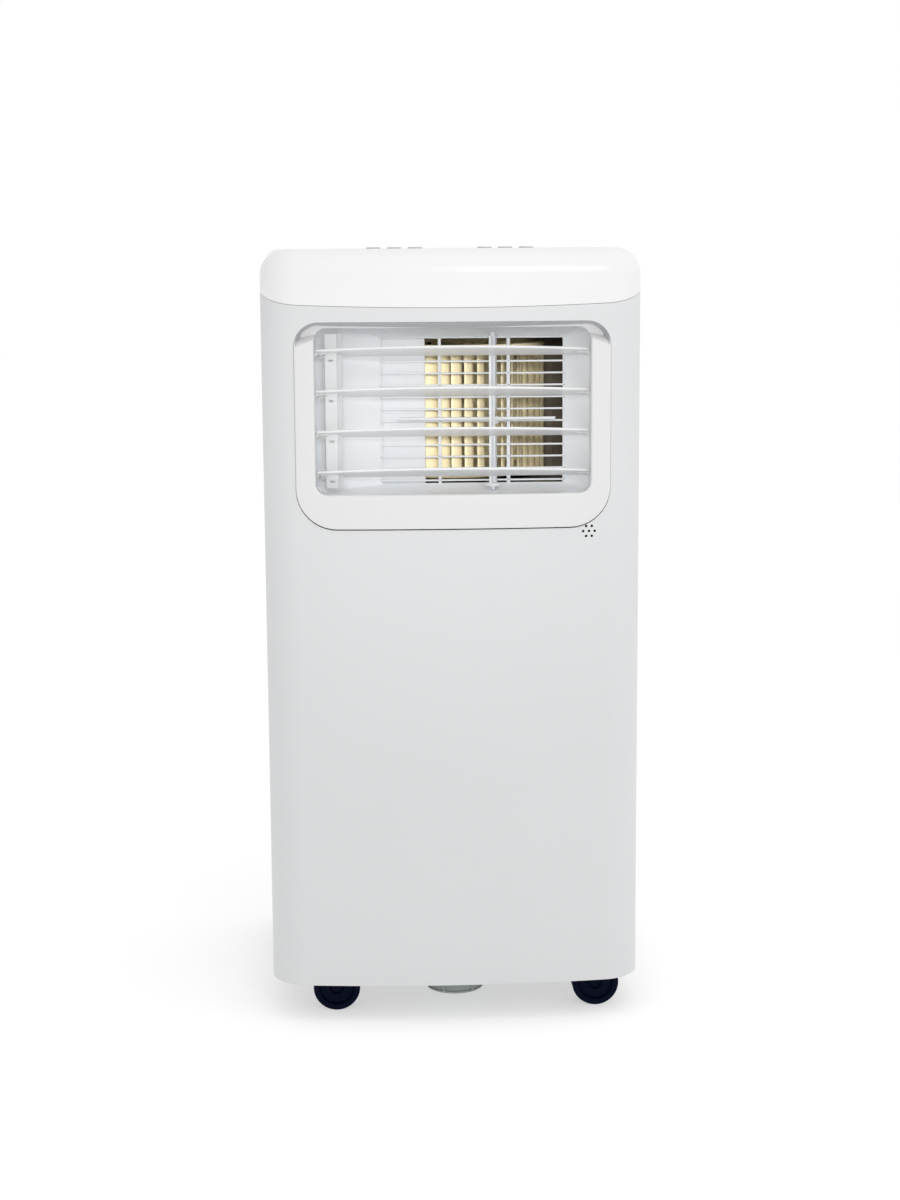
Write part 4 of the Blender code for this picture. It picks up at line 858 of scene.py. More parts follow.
class COOLER_OT_bezel(bpy.types.Operator):
    """Build the outlet's frame, which follows the front's bow

    Low down it stands proud of the panel. Towards the top its face sinks behind a chamfer that starts at
    the outline: the depth is the sink's share of the full depth, and the chamfer's width goes with it.
    """

    bl_idname = "cooler.bezel"
    bl_label = "Outlet bezel"
    step: length("Step", "How deep the chamfer starts at the top", 3.0 * MM)
    depth: length("Chamfer depth", "How much deeper the face lies at the top", 8.0 * MM)
    slope: bpy.props.FloatProperty(name="Chamfer slope", description="Depth over width", default=1.6)

    def execute(self, context):
        size = context.scene.cooler_sizes
        back = high("outlet_bezel", 1)
        proud = low("front_panel", 1) - low("outlet_bezel", 1)
        top = high("outlet_bezel", 2)
        plain, inner = outlet_loops()
        sink = eased((plain[:, 1] - (top - 21 * MM)) / (11 * MM))
        edge = 1.2 * MM * (1 - sink) + 0.2 * MM * sink
        base = -proud * (1 - sink) + self.step * sink
        across = np.linalg.norm(inner - plain, axis=1)
        chamfer = np.clip(sink * self.depth / self.slope / across, 0, 0.97)
        loops = [lift(plain, "Y", back)]

        def row(loop, depth):
            loops.append(lift(loop, "Y", bow_y(loop[:, 0], size) + depth))

        for a in np.linspace(0, np.pi / 2, 5):
            row(plain - outward(plain) * (edge * (1 - np.cos(a)))[:, None], base + edge * (1 - np.sin(a)))
        start = plain - outward(plain) * edge[:, None]
        for part in (0.5, 1.0):
            place = (chamfer * part)[:, None]
            row(start * (1 - place) + inner * place, base + sink * self.depth * part)
        floor = base + sink * self.depth
        inner_edge = (2.0 * MM * (1 - sink) + 0.15 * MM * sink)[:, None]
        rim = inner + outward(inner) * inner_edge
        first = start * (1 - chamfer[:, None]) + inner * chamfer[:, None]
        for part in (0.33, 0.67):
            row(first * (1 - part) + rim * part, floor)
        for a in np.linspace(0, np.pi / 2, 6):
            round_off = inner_edge * (1 - np.sin(a))
            row(inner + outward(inner) * round_off, floor + (inner_edge * (1 - np.cos(a)))[:, 0])
        loops.append(lift(inner, "Y", back))
        bezel = build("outlet_bezel_frame", [ring(loops), *self.hooks(back)])
        settle(bezel, "bezel_satin", HOUSING, "bezel_white", "outlet_bezel")
        # The chamfer's faces get a darker material: painted shade
        self.shade(bezel.data, top)
        return {"FINISHED"}

    def shade(self, mesh, top):
        """Paints shade on the chamfer: a darker material on the faces near the outline that lean in towards
        the opening, where the white frame lies in shadow under the panel's edge.
        """
        mesh.materials.append(bpy.data.materials["bezel_shade"])
        count = len(mesh.polygons)
        place, aim = np.empty(3 * count), np.empty(3 * count)
        mesh.polygons.foreach_get("center", place)
        mesh.polygons.foreach_get("normal", aim)
        place, aim = place.reshape(-1, 3), aim.reshape(-1, 3)
        corner, strip, half = BEZEL_CORNERS[1], 4.97 * MM, high("outlet_bezel", 0)
        across = np.maximum(np.abs(place[:, 0]) - (half - corner), 0)
        above = place[:, 2] - (top - corner)
        inset = corner - np.hypot(across, np.maximum(above, 0))
        inward = -(aim[:, 0] * np.sign(place[:, 0]) * across + aim[:, 2] * above)
        inward /= np.maximum(np.hypot(across, above), MM)
        # The chosen faces get the painted shade material, where the chamfer lies in shadow under the panel's
        # edge
        chosen = (above > 0) & (inset < strip) & (aim[:, 1] < -0.2) & (inward > 0.3)
        mesh.polygons.foreach_set("material_index", chosen.astype(np.int32))

    def hooks(self, back):
        """Two small three-sided clips in the lower corners of the opening."""
        parts = []
        for side in (-1, 1):
            corner = np.array([(117.4, 478.0), (111.4, 471.4), (114.2, 477.2)]) * MM
            loop = corner * [side, 1]
            parts.append(prism(loop if side < 0 else loop[::-1], "Y", back - 3.0 * MM, back - 1.0 * MM))
        return parts


class COOLER_OT_duct(bpy.types.Operator):
    """Build the outlet's duct: a straight mouth that narrows to the guard grille"""

    bl_idname = "cooler.duct"
    bl_label = "Outlet duct"

    def execute(self, context):
        front, bend, rear = low("outlet_duct", 1), -118 * MM, low("guard_grille", 1) - 0.4 * MM
        half, wall = 119.5 * MM, 2.0 * MM
        mouth = rounded(-half, half, 469.5 * MM, 614 * MM, 6 * MM, steps=6)
        (x0, _, z0), (x1, _, z1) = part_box("guard_grille")
        lap = 1.2 * MM
        throat = rounded(x0 + lap, x1 - lap, z0 + lap, z1 - lap, 3 * MM, steps=6)
        shares = np.linspace(0, 1, 9)
        inner = [lift(mouth, "Y", front)]
        inner += [
            lift(mouth * (1 - s) + throat * s, "Y", bend + (rear - bend) * (1 - (1 - s) ** 1.25))
            for s in shares
        ]
        outer = []
        for loop in inner[::-1]:
            flat = loop[:, [0, 2]]
            outer.append(lift(flat + outward(flat) * wall, "Y", loop[:, 1] - 0.1 * MM))
        outer[-1][:, 1] = front
        duct = build("outlet_duct_walls", [ring(inner + outer)])
        holes = [
            plate_hole(circle(pivot[1], pivot[2], 2.2 * MM, 24), "X", 0.0, 0.15)
            for pivot in (joint_at(f"{name}_tilt") for name in LOUVRES)
        ]
        vane = joint_at("vane_swing")
        holes.append(plate_hole(circle(vane[0], vane[1], 2.6 * MM, 24), "Z", 0.54, 0.1))
        cut(duct, *holes)
        settle(duct, "duct_satin", HOUSING, "duct_white", "outlet_duct")
        (x0, y0, z0), (x1, y1, z1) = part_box("outlet_baffle")
        baffle = build("outlet_baffle_plate", [prism(rounded(x0, x1, z0, z1, 1 * MM), "Y", y0, y1, 0.4 * MM)])
        settle(baffle, "duct_satin", HOUSING, "duct_white", "outlet_baffle")
        return {"FINISHED"}


def blade(half, front, bow, rear, thick, tilt):
    """A louvre about its pivot: at each x a thin section runs from a bowed round nose to a thinner tail.

    The nose is front less bow times the square of x over half; a notch is left for the link bar.
    """
    start, end, step = *NOTCH, 0.01 * MM
    x = np.concatenate([np.linspace(-half, start, 4), np.linspace(start + step, end, 4),
                        np.linspace(end + step, half, 49)])
    nose = -front + bow * (x / half) ** 2
    inside = (x > start) & (x <= end)
    tail = np.where(inside, -3.0 * MM, rear)
    turn = np.linspace(np.pi / 2, 3 * np.pi / 2, 9)
    round_y, round_z = thick / 2 * (1 + np.cos(turn)), thick / 2 * np.sin(turn)
    share = np.array([0.12, 0.35, 0.65, 1.0])
    under = np.concatenate([share, share[::-1]])
    sign = np.concatenate([-np.ones(4), np.ones(4)])
    taper = thick / 2 * (1 - 0.25 * under)
    y_nose = nose[:, None] + round_y[None, :]
    body_y = (nose + thick / 2)[:, None] * (1 - under) + tail[:, None] * under
    y = np.concatenate([y_nose, body_y], axis=1)
    z = np.broadcast_to(np.concatenate([round_z, sign * taper]), y.shape)
    turned = np.stack([np.broadcast_to(x[:, None], y.shape), y * math.cos(tilt) + z * math.sin(tilt),
                       -y * math.sin(tilt) + z * math.cos(tilt)], axis=-1)
    return grid(turned)


class COOLER_OT_louvres(bpy.types.Operator):
    """Build the four louvres with their pegs and pins, and the bar that links them"""

    bl_idname = "cooler.louvres"
    bl_label = "Louvres"

    def execute(self, context):
        half = 116.5 * MM
        peg, reach = 1.8 * MM, high("louvre_1", 0)
        pivots = [joint_at(f"{name}_tilt") for name in LOUVRES]
        pin_x, pin_y, pin_z = joint_at("link_bar_pivot")
        pin = np.array([pin_y - pivots[0][1], pin_z - pivots[0][2]])
        master = build("louvre_master", [blade(half, 18 * MM, 10 * MM, 9 * MM, 2.2 * MM, math.radians(18))])
        lug = np.array([[-3.0, -1.0], [-2.0, 1.0], [7.5, -1.5], [7.8, -5.0], [4.5, -5.5]]) * MM
        pegs = []
        for side in (-1, 1):
            ends = sorted((side * (half - 9 * MM), side * reach))
            pegs.append(dowel(peg, *ends, (0, 0, 0), "X", 20))
            collar = sorted((side * (half - 1.0 * MM), side * (half + 1.2 * MM)))
            pegs.append(dowel(3.4 * MM, *collar, (0, 0, 0), "X", 20))
        clip = dowel(1.1 * MM, -112.5 * MM, -98.0 * MM, (0, *pin), "X", 12)
        join(master, *pegs, prism(lug, "X", -113.5 * MM, -111.3 * MM), clip)
        for name, pivot in zip(LOUVRES, pivots):
            mesh = master.data.copy()
            mesh.transform(Matrix.Translation(pivot))
            louvre = bpy.data.objects.new(f"{name}_blade", mesh)
            context.scene.collection.objects.link(louvre)
            settle(louvre, "louvre_white", name, "bezel_white", name)
        bpy.data.objects.remove(master, do_unlink=True)
        self.link_bar(pivots, pin, pin_y)
        return {"FINISHED"}

    def link_bar(self, pivots, pin, pin_y):
        """A bar with a round hole for each pin, between two set-back flanges that end in a raised rim."""
        (x0, y0, z0), (x1, y1, z1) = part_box("louvre_link_bar")
        left, right, thin = NOTCH[0] + 0.4 * MM, NOTCH[1] - 0.4 * MM, 0.9 * MM
        plan = np.array([
            (left, y1 - 2.0 * MM), (left + 0.7 * MM, y1 - 2.0 * MM), (left + 0.7 * MM, y1 - thin),
            (x0, y1 - thin), (x0, y0 + 0.5 * MM), (x0 + 0.5 * MM, y0), (x1 - 0.5 * MM, y0),
            (x1, y0 + 0.5 * MM), (x1, y1 - thin), (right - 0.7 * MM, y1 - thin),
            (right - 0.7 * MM, y1 - 2.0 * MM), (right, y1 - 2.0 * MM), (right, y1), (left, y1),
        ])
        link = build("louvre_link", [prism(plan, "Z", z0, z1)])
        middle_x, heights = (x0 + x1) / 2, [pivot[2] + pin[1] for pivot in pivots]
        turn = np.linspace(0, 2 * np.pi, 20, endpoint=False)
        dimple = np.stack([middle_x + 2.2 * MM * np.cos(turn), 1.0 * MM * np.sin(turn)], axis=1)
        cut(link, *[plate_hole(circle(pin_y, z, 1.25 * MM, 24), "X", middle_x, 0.01) for z in heights])
        cut(link, *[plate_hole(dimple + [0, z - 3.4 * MM], "Y", y0, 3.0 * MM) for z in heights])
        settle(link, "louvre_white", "louvre_link", "bezel_white", "louvre_link_bar")


class COOLER_OT_guard_grille(bpy.types.Operator):
    """Build the guard grille: thin level bars tied by upright ribs inside a frame"""

    bl_idname = "cooler.guard_grille"
    bl_label = "Guard grille"

    def execute(self, context):
        (x0, y0, z0), (x1, y1, z1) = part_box("guard_grille")
        y, deep = (y0 + y1) / 2, (y1 - y0) / 2
        pitch, half = 10.4 * MM, 0.8 * MM
        heights = z1 - 3.0 * MM - pitch * np.arange(13) + half
        parts = [bar((x0, y, z), (x1, y, z), deep, half, 0.5 * MM) for z in heights if z > z0]
        for x, wide in ((x0 + 1.5 * MM, 1.5 * MM), (-9.7 * MM, 1.35 * MM), (50.5 * MM, 1.55 * MM),
                        (x1 - 1.5 * MM, 1.5 * MM)):
            parts.append(bar((x, y, z0), (x, y, z1), wide, deep, 0.5 * MM))
        for z in (z0 + 0.8 * MM, z1 - 0.8 * MM):
            parts.append(bar((x0, y, z), (x1, y, z), deep, 0.8 * MM, 0.4 * MM))
        grille = build("guard_grille_bars", parts)
        settle(grille, "duct_satin", HOUSING, "bezel_white", "guard_grille")
        return {"FINISHED"}


class COOLER_OT_vane(bpy.types.Operator):
    """Build the upright vane and the slide rod that steers it"""

    bl_idname = "cooler.vane"
    bl_label = "Vane and rod"

    def execute(self, context):
        pivot = np.array(joint_at("vane_swing"))
        rod_z = middle("vane_slide_rod", 2)
        base, top, chord, thick = 473.8 * MM, 604.2 * MM, 7.8 * MM, 1.1 * MM
        turn, reach = math.radians(-22), 10 * MM
        face = np.array([
            (-chord, base), (chord, base), (chord, rod_z - 10 * MM), (1.5 * MM, rod_z - 10 * MM),
            (1.5 * MM, rod_z + 8 * MM), (chord, rod_z + 8 * MM), (chord, top), (-chord, top),
        ])
        vane = soften(build("vane_blade", [prism(face, "X", -thick, thick)]), 0.5 * MM)
        arm_z = rod_z - 3.5 * MM
        arm = rounded(-1.6 * MM, 1.6 * MM, -0.5 * MM, 11.6 * MM, 1.5 * MM)
        foot = [(0, base + 0.3 * MM), (6.5 * MM, base + 0.3 * MM), (6.5 * MM, base + 2.0 * MM),
                (5.5 * MM, base + 3.0 * MM), (0, base + 3.0 * MM)]
        join(
            vane,
            dowel(2 * MM, base - 3 * MM, top + 3 * MM, (0, 0, 0), "Z", 20),
            lathe(foot, (0, 0, 0), "Z", 32),
            prism(arm, "Z", arm_z - 0.9 * MM, arm_z + 0.9 * MM),
            dowel(0.9 * MM, arm_z, rod_z + 2 * MM, (0, reach, 0), "Z", 12),
        )
        vane.data.transform(Matrix.Rotation(turn, 4, "Z"))
        vane.data.transform(Matrix.Translation((pivot[0], pivot[1], 0)))
        settle(vane, "duct_satin", "vane", "bezel_white", "air_vane")
        (x0, y0, z0), (x1, y1, z1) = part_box("vane_slide_rod")
        y = (y0 + y1) / 2
        slim, tab = 2.4 * MM, 3.4 * MM
        tab_x = x1 - tab
        body = np.concatenate([[(x0, y - slim), (tab_x - 1 * MM, y - slim)],
                               arc(tab_x, y, tab, -50, 50, 10),
                               [(tab_x - 1 * MM, y + slim), (x0, y + slim)]])
        rod = build("vane_rod_bar", [prism(body, "Z", z0, z1)])
        pin_x, pin_y = pivot[0] - reach * math.sin(turn), pivot[1] + reach * math.cos(turn)
        wide, deep = 1.5 * MM, 1.8 * MM
        slot = rounded(pin_x - wide, pin_x + wide, pin_y - deep, pin_y + deep, 0.3 * MM, steps=2)
        cut(rod, plate_hole(slot, "Z", rod_z, 0.01))
        soften(rod, 0.35 * MM)
        settle(rod, "duct_satin", "vane_rod", "bezel_white", "vane_slide_rod")
        return {"FINISHED"}


class COOLER_OT_blower_wheel(bpy.types.Operator):
    """Build the tan squirrel-cage wheel with its many curved blades"""

    bl_idname = "cooler.blower_wheel"
    bl_label = "Blower wheel"
    blades: bpy.props.IntProperty(name="Blades", description="Number of blades", default=48, min=8)

    def execute(self, context):
        x, y, _ = joint_at("blower_spin")
        (x0, _, z0), (x1, _, z1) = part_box("blower_wheel")
        rim = (x1 - x0) / 2
        plate = z1 - 117 * MM
        inner = rim - 12 * MM
        disc = [
            (0, plate + 26 * MM), (4 * MM, plate + 26 * MM), (4 * MM, plate + 22 * MM),
            (11 * MM, plate + 22 * MM), (12.5 * MM, plate + 4 * MM), (15 * MM, plate + 2.4 * MM),
            (rim - 1 * MM, plate + 2.4 * MM), (rim, plate + 1.6 * MM), (rim, plate + 0.6 * MM),
            (rim - 0.6 * MM, plate), (4 * MM, plate), (4 * MM, z0), (0, z0),
        ]
        hoop = [(inner, z1), (rim - 0.8 * MM, z1), (rim, z1 - 0.8 * MM), (rim, z1 - 3.4 * MM),
                (rim - 0.6 * MM, z1 - 4 * MM), (inner, z1 - 4 * MM)]
        parts = [lathe(disc, (x, y, 0), "Z", 96), lathe(hoop, (x, y, 0), "Z", 96, closed=True)]
        share = np.linspace(0, 1, 9)
        radius = inner + 0.4 * MM + (rim - inner - 0.8 * MM) * share
        lean = -0.115 * share**1.7
        width = np.interp(share, [0, 0.5, 1], [0.7, 1.0, 0.6]) * MM
        outer = np.concatenate([radius, radius[::-1]])
        angle = np.concatenate([lean + width / radius, (lean - width / radius)[::-1]])
        for turn in np.linspace(0, 2 * np.pi, self.blades, endpoint=False):
            loop = np.stack([x + outer * np.cos(angle + turn), y + outer * np.sin(angle + turn)], axis=1)
            parts.append(prism(loop, "Z", plate + 1 * MM, z1 - 1 * MM))
        wheel = build("blower_wheel_cage", parts)
        settle(wheel, "wheel_plastic", "blower_rotor", "wheel_tan", "blower_wheel")
        return {"FINISHED"}


# Rear


class COOLER_OT_inlet_grilles(bpy.types.Operator):
    """Build the two inlet grilles: a frame, sloping slats and a middle rib"""

    bl_idname = "cooler.inlet_grilles"
    bl_label = "Inlet grilles"
    pitch: length("Slat pitch", "Distance between slats", 7.25 * MM)

    def execute(self, context):
        for node in ("upper_inlet_grille", "lower_inlet_grille"):
            (x0, y0, z0), (x1, y1, z1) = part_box(node)
            rim = 7.5 * MM
            outer = rounded(x0, x1, z0, z1, 7.6 * MM, steps=8)
            inner = rounded(x0 + rim, x1 - rim, z0 + rim, z1 - rim, 2.0 * MM, steps=8)
            edge = 0.6 * MM
            loops = [
                lift(outer, "Y", y0),
                lift(outer, "Y", y1 - edge),
                lift(outer - outward(outer) * edge, "Y", y1),
                lift(inner + outward(inner) * edge, "Y", y1),
                lift(inner, "Y", y1 - edge),
                lift(inner, "Y", y0),
            ]
            parts = [ring(loops)]
            count = int((z1 - z0 - 2 * rim) / self.pitch)
            heights = (z0 + z1) / 2 + self.pitch * (np.arange(count) - (count - 1) / 2)
            slat = np.array([(y0 + 0.1 * MM, 0.3), (y0 + 0.4 * MM, 1.6), (y1 - 0.2 * MM, 0.2),
                             (y1 - 0.1 * MM, -0.6), (y1 - 0.5 * MM, -1.2), (y0 + 0.2 * MM, -0.6)])
            for z in heights:
                loop = np.stack([slat[:, 0], z + slat[:, 1] * MM], axis=1)
                parts.append(prism(loop, "X", x0 + rim - 1 * MM, x1 - rim + 1 * MM))
            for x in (x0 / 2, 0.0, x1 / 2):
                parts.append(bar((x, (y0 + y1) / 2, z0 + rim - 1 * MM), (x, (y0 + y1) / 2, z1 - rim + 1 * MM),
                                 1.6 * MM, (y1 - y0) / 2 - 0.1 * MM, 0.5 * MM))
            grille = build(f"{node}_slats", parts)
            settle(grille, "panel_satin", HOUSING, "satin_white", node)
        return {"FINISHED"}


class COOLER_OT_ports(bpy.types.Operator):
    """Build the exhaust collar, the cord gland and the drain plug"""

    bl_idname = "cooler.ports"
    bl_label = "Rear ports"

    def execute(self, context):
        (x0, y0, z0), (x1, y1, z1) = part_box("exhaust_collar")
        x, z = (x0 + x1) / 2, (z0 + z1) / 2
        lip = (x1 - x0) / 2
        bore, wall = lip - 4.4 * MM, 2.4 * MM
        y = y1
        profile = [
            (bore, y0), (bore, y - 20 * MM), (bore - 0.8 * MM, y - 19 * MM), (bore - 0.8 * MM, y - 17 * MM),
            (bore, y - 16 * MM), (bore, y - 1.0 * MM), (bore + 1.0 * MM, y), (lip - 0.8 * MM, y),
            (lip, y - 0.8 * MM), (lip, y - 2.4 * MM), (bore + wall, y - 2.8 * MM), (bore + wall, y0),
        ]
        collar = build("exhaust_collar_ring", [lathe(profile, (x, 0, z), "Y", 96, closed=True)])
        settle(collar, "bezel_satin", HOUSING, "bezel_white", "exhaust_collar")
        x, z = middle("cord_gland", 0), middle("cord_gland", 2)
        y0, y1 = low("cord_gland", 1), high("cord_gland", 1)
        gland = [(4.5 * MM, y0), (4.5 * MM, y1 - 0.8 * MM), (5.2 * MM, y1), (7.6 * MM, y1),
                 (8.8 * MM, y1 - 0.8 * MM), (9 * MM, y1 - 2 * MM), (9 * MM, y0)]
        gland = build("cord_gland_ring", [lathe(gland, (x, 0, z), "Y", 40, closed=True)])
        settle(gland, "cap_plastic", HOUSING, "cap_grey", "cord_gland")
        x, z = middle("drain_plug", 0), middle("drain_plug", 2)
        y0, y1 = low("drain_plug", 1), high("drain_plug", 1)
        plug = [(0, y0), (9 * MM, y0), (9 * MM, y1 - 1 * MM), (8.4 * MM, y1 - 0.3 * MM), (7.4 * MM, y1),
                (3.4 * MM, y1), (3.0 * MM, y1 - 1.0 * MM), (0, y1 - 1.0 * MM)]
        plug = build("drain_plug_head", [lathe(plug, (x, 0, z), "Y", 40)])
        settle(plug, "cap_plastic", "drain_plug", "cap_grey", "drain_plug")
        return {"FINISHED"}


# Controls


class COOLER_OT_controls(bpy.types.Operator):
    """Build the control panel, its display lens and its six buttons"""

    bl_idname = "cooler.controls"
    bl_label = "Controls"

    def execute(self, context):
        (x0, y0, z0), (x1, y1, z1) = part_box("control_panel")
        face = prism(rounded(x0, x1, y0, y1, 7.6 * MM, steps=8), "Z", z0, z1, 0.4 * MM)
        panel = build("control_panel_face", [face])
        (a0, b0, _), (a1, b1, _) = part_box("display_window")
        gap = 0.4 * MM
        wells = [plate_hole(rounded(a0 - gap, a1 + gap, b0 - gap, b1 + gap, 3.4 * MM), "Z", z1, 0.01)]
        radius = (high(BUTTONS[0], 0) - low(BUTTONS[0], 0)) / 2
        for name in BUTTONS:
            spot = middle(name, 0), middle(name, 1)
            wells.append(plate_hole(circle(*spot, radius + 0.5 * MM, 48), "Z", z1, 0.01))
        cut(panel, *wells)
        settle(panel, "bezel_satin", HOUSING, "bezel_white", "control_panel")
        lens = build("display_lens_plate", [prism(rounded(a0, a1, b0, b1, 3 * MM), "Z", z0, z1, 0.3 * MM)])
        settle(lens, "display_lens", HOUSING, "display_black", "display_window")
        turn = np.linspace(0, np.pi / 2, 5)
        dish = np.linspace(1, 0, 6)[1:]
        for name in BUTTONS:
            spot, foot, head = (middle(name, 0), middle(name, 1), 0), low(name, 2), high(name, 2)
            edge = 0.8 * MM
            rim = radius - edge
            profile = [(0, foot), (radius, foot)]
            profile += list(zip(rim + edge * np.cos(turn), head - edge + edge * np.sin(turn)))
            profile += list(zip(rim * dish, head - 0.5 * MM * (1 - dish**2)))
            cap = build(f"{name}_cap", [lathe(profile, spot, "Z", 40)])
            settle(cap, "button_plastic", name, "button_grey", name)
        return {"FINISHED"}


# Underside


class COOLER_OT_casters(bpy.types.Operator):
    """Build the four hooded twin-wheel casters"""

    bl_idname = "cooler.casters"
    bl_label = "Casters"

    def execute(self, context):
        for corner in CORNERS:
            x, y, z = joint_at(f"caster_{corner}_roll")
            stem_x, stem_y, _ = joint_at(f"caster_{corner}_swivel")
            radius = z
            half, inner, axle = 11.5 * MM, 3.1 * MM, 2.2 * MM
            side = [
                (0, half - 3.5 * MM), (5.5 * MM, half - 3.5 * MM), (6.5 * MM, half - 1.6 * MM),
                (14.5 * MM, half - 2.6 * MM), (16.0 * MM, half - 0.3 * MM), (17.0 * MM, half),
                (radius - 1.2 * MM, half), (radius - 0.3 * MM, half - 0.5 * MM), (radius, half - 1.6 * MM),
                (radius, inner + 0.6 * MM), (radius - 0.6 * MM, inner), (axle, inner),
            ]
            profile = np.array(side + [(r, -h) for r, h in side[::-1]])
            wheel = build(f"caster_{corner}_tyres", [lathe(profile, (x, y, z), "Y", 64)])
            name = f"caster_wheel_{corner}"
            settle(wheel, "caster_nylon", name, "caster_navy", name)
            settle(self.fork(corner, (x, y, z), (stem_x, stem_y)), "caster_nylon", f"caster_fork_{corner}",
                   "caster_navy", f"caster_fork_{corner}")
        return {"FINISHED"}

    def fork(self, corner, axle, stem):
        """A web with a round eye, a hood that is a ring's sector with round edges, and a turned stem."""
        x, y, z = axle
        radius = z
        eye = arc(x, z, 6 * MM, -100, 40, 14)
        web = np.concatenate([eye, [(stem[0] + 6 * MM, z + 23.5 * MM), (stem[0] - 6 * MM, z + 23.5 * MM)]])
        fork = build(f"caster_{corner}_yoke", [prism(web, "Y", y - 2.5 * MM, y + 2.5 * MM)])
        cut(fork, plate_hole(circle(x, z, 2.8 * MM, 24), "Y", y, 0.01))
        reach, across = rounded(radius + 1.2 * MM, radius + 3.0 * MM, -13 * MM, 13 * MM, 0.8 * MM, steps=3).T
        turn = np.radians(np.linspace(50, 168, 33))[:, None]
        hood = np.stack([x + reach * np.cos(turn), y + across + 0 * turn, z + reach * np.sin(turn)], axis=-1)
        top, shoulder = high(f"caster_fork_{corner}", 2), 49.4 * MM
        post = [(0, z + 22.2 * MM), (8.5 * MM, z + 22.2 * MM), (8.5 * MM, shoulder - 1 * MM),
                (7.5 * MM, shoulder), (4 * MM, shoulder), (4 * MM, top - 0.8 * MM), (3.2 * MM, top), (0, top)]
        join(fork, grid(hood), lathe(post, (stem[0], stem[1], 0), "Z", 40))
        return fork


class COOLER_OT_drain_cap(bpy.types.Operator):
    """Build the ribbed screw cap under the front"""

    bl_idname = "cooler.drain_cap"
    bl_label = "Drain cap"
    ribs: bpy.props.IntProperty(name="Ribs", description="Grip ribs round the cap", default=6, min=3)

    def execute(self, context):
        x, y, _ = joint_at("drain_cap_turn")
        (_, _, bottom), (_, _, top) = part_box("drain_cap")
        radius, neck, shoulder = 26 * MM, 12 * MM, 48 * MM
        edge = 1.5 * MM
        turn = np.linspace(0, np.pi / 2, 5)
        profile = [(0, bottom + 0.8 * MM), (radius - 6 * MM, bottom + 0.8 * MM), (radius - 4.5 * MM, bottom)]
        profile += list(zip(radius - edge + edge * np.sin(turn), bottom + edge * (1 - np.cos(turn))))
        profile += [(radius, bottom + 2.2 * MM), (radius - 0.9 * MM, bottom + 2.5 * MM),
                    (radius - 0.9 * MM, bottom + 3.1 * MM), (radius - 0.3 * MM, bottom + 3.4 * MM),
                    (radius - 0.3 * MM, shoulder - 0.6 * MM), (radius - 0.9 * MM, shoulder),
                    (neck, shoulder), (neck, top), (0, top)]
        parts = [lathe(profile, (x, y, 0), "Z", 72)]
        for a in np.radians(60 * np.arange(self.ribs) - 55):
            spot = x + (radius - 0.4 * MM) * math.cos(a), y + (radius - 0.4 * MM) * math.sin(a)
            loop = circle(*spot, 1.5 * MM, 12)
            parts.append(prism(loop, "Z", bottom + 2.2 * MM, shoulder - 1.2 * MM, 0.5 * MM))
        cap = build("drain_cap_shell", parts)
        settle(cap, "cap_plastic", "drain_cap", "cap_grey", "drain_cap")
        return {"FINISHED"}


# Stage


def look_along(yaw, pitch, roll):
    """A camera's turn from its yaw, its downward pitch and its roll, in radians."""
    return (
        Matrix.Rotation(yaw, 4, "Z")
        @ Matrix.Rotation(math.pi / 2 - pitch, 4, "X")
        @ Matrix.Rotation(roll, 4, "Z")
    )


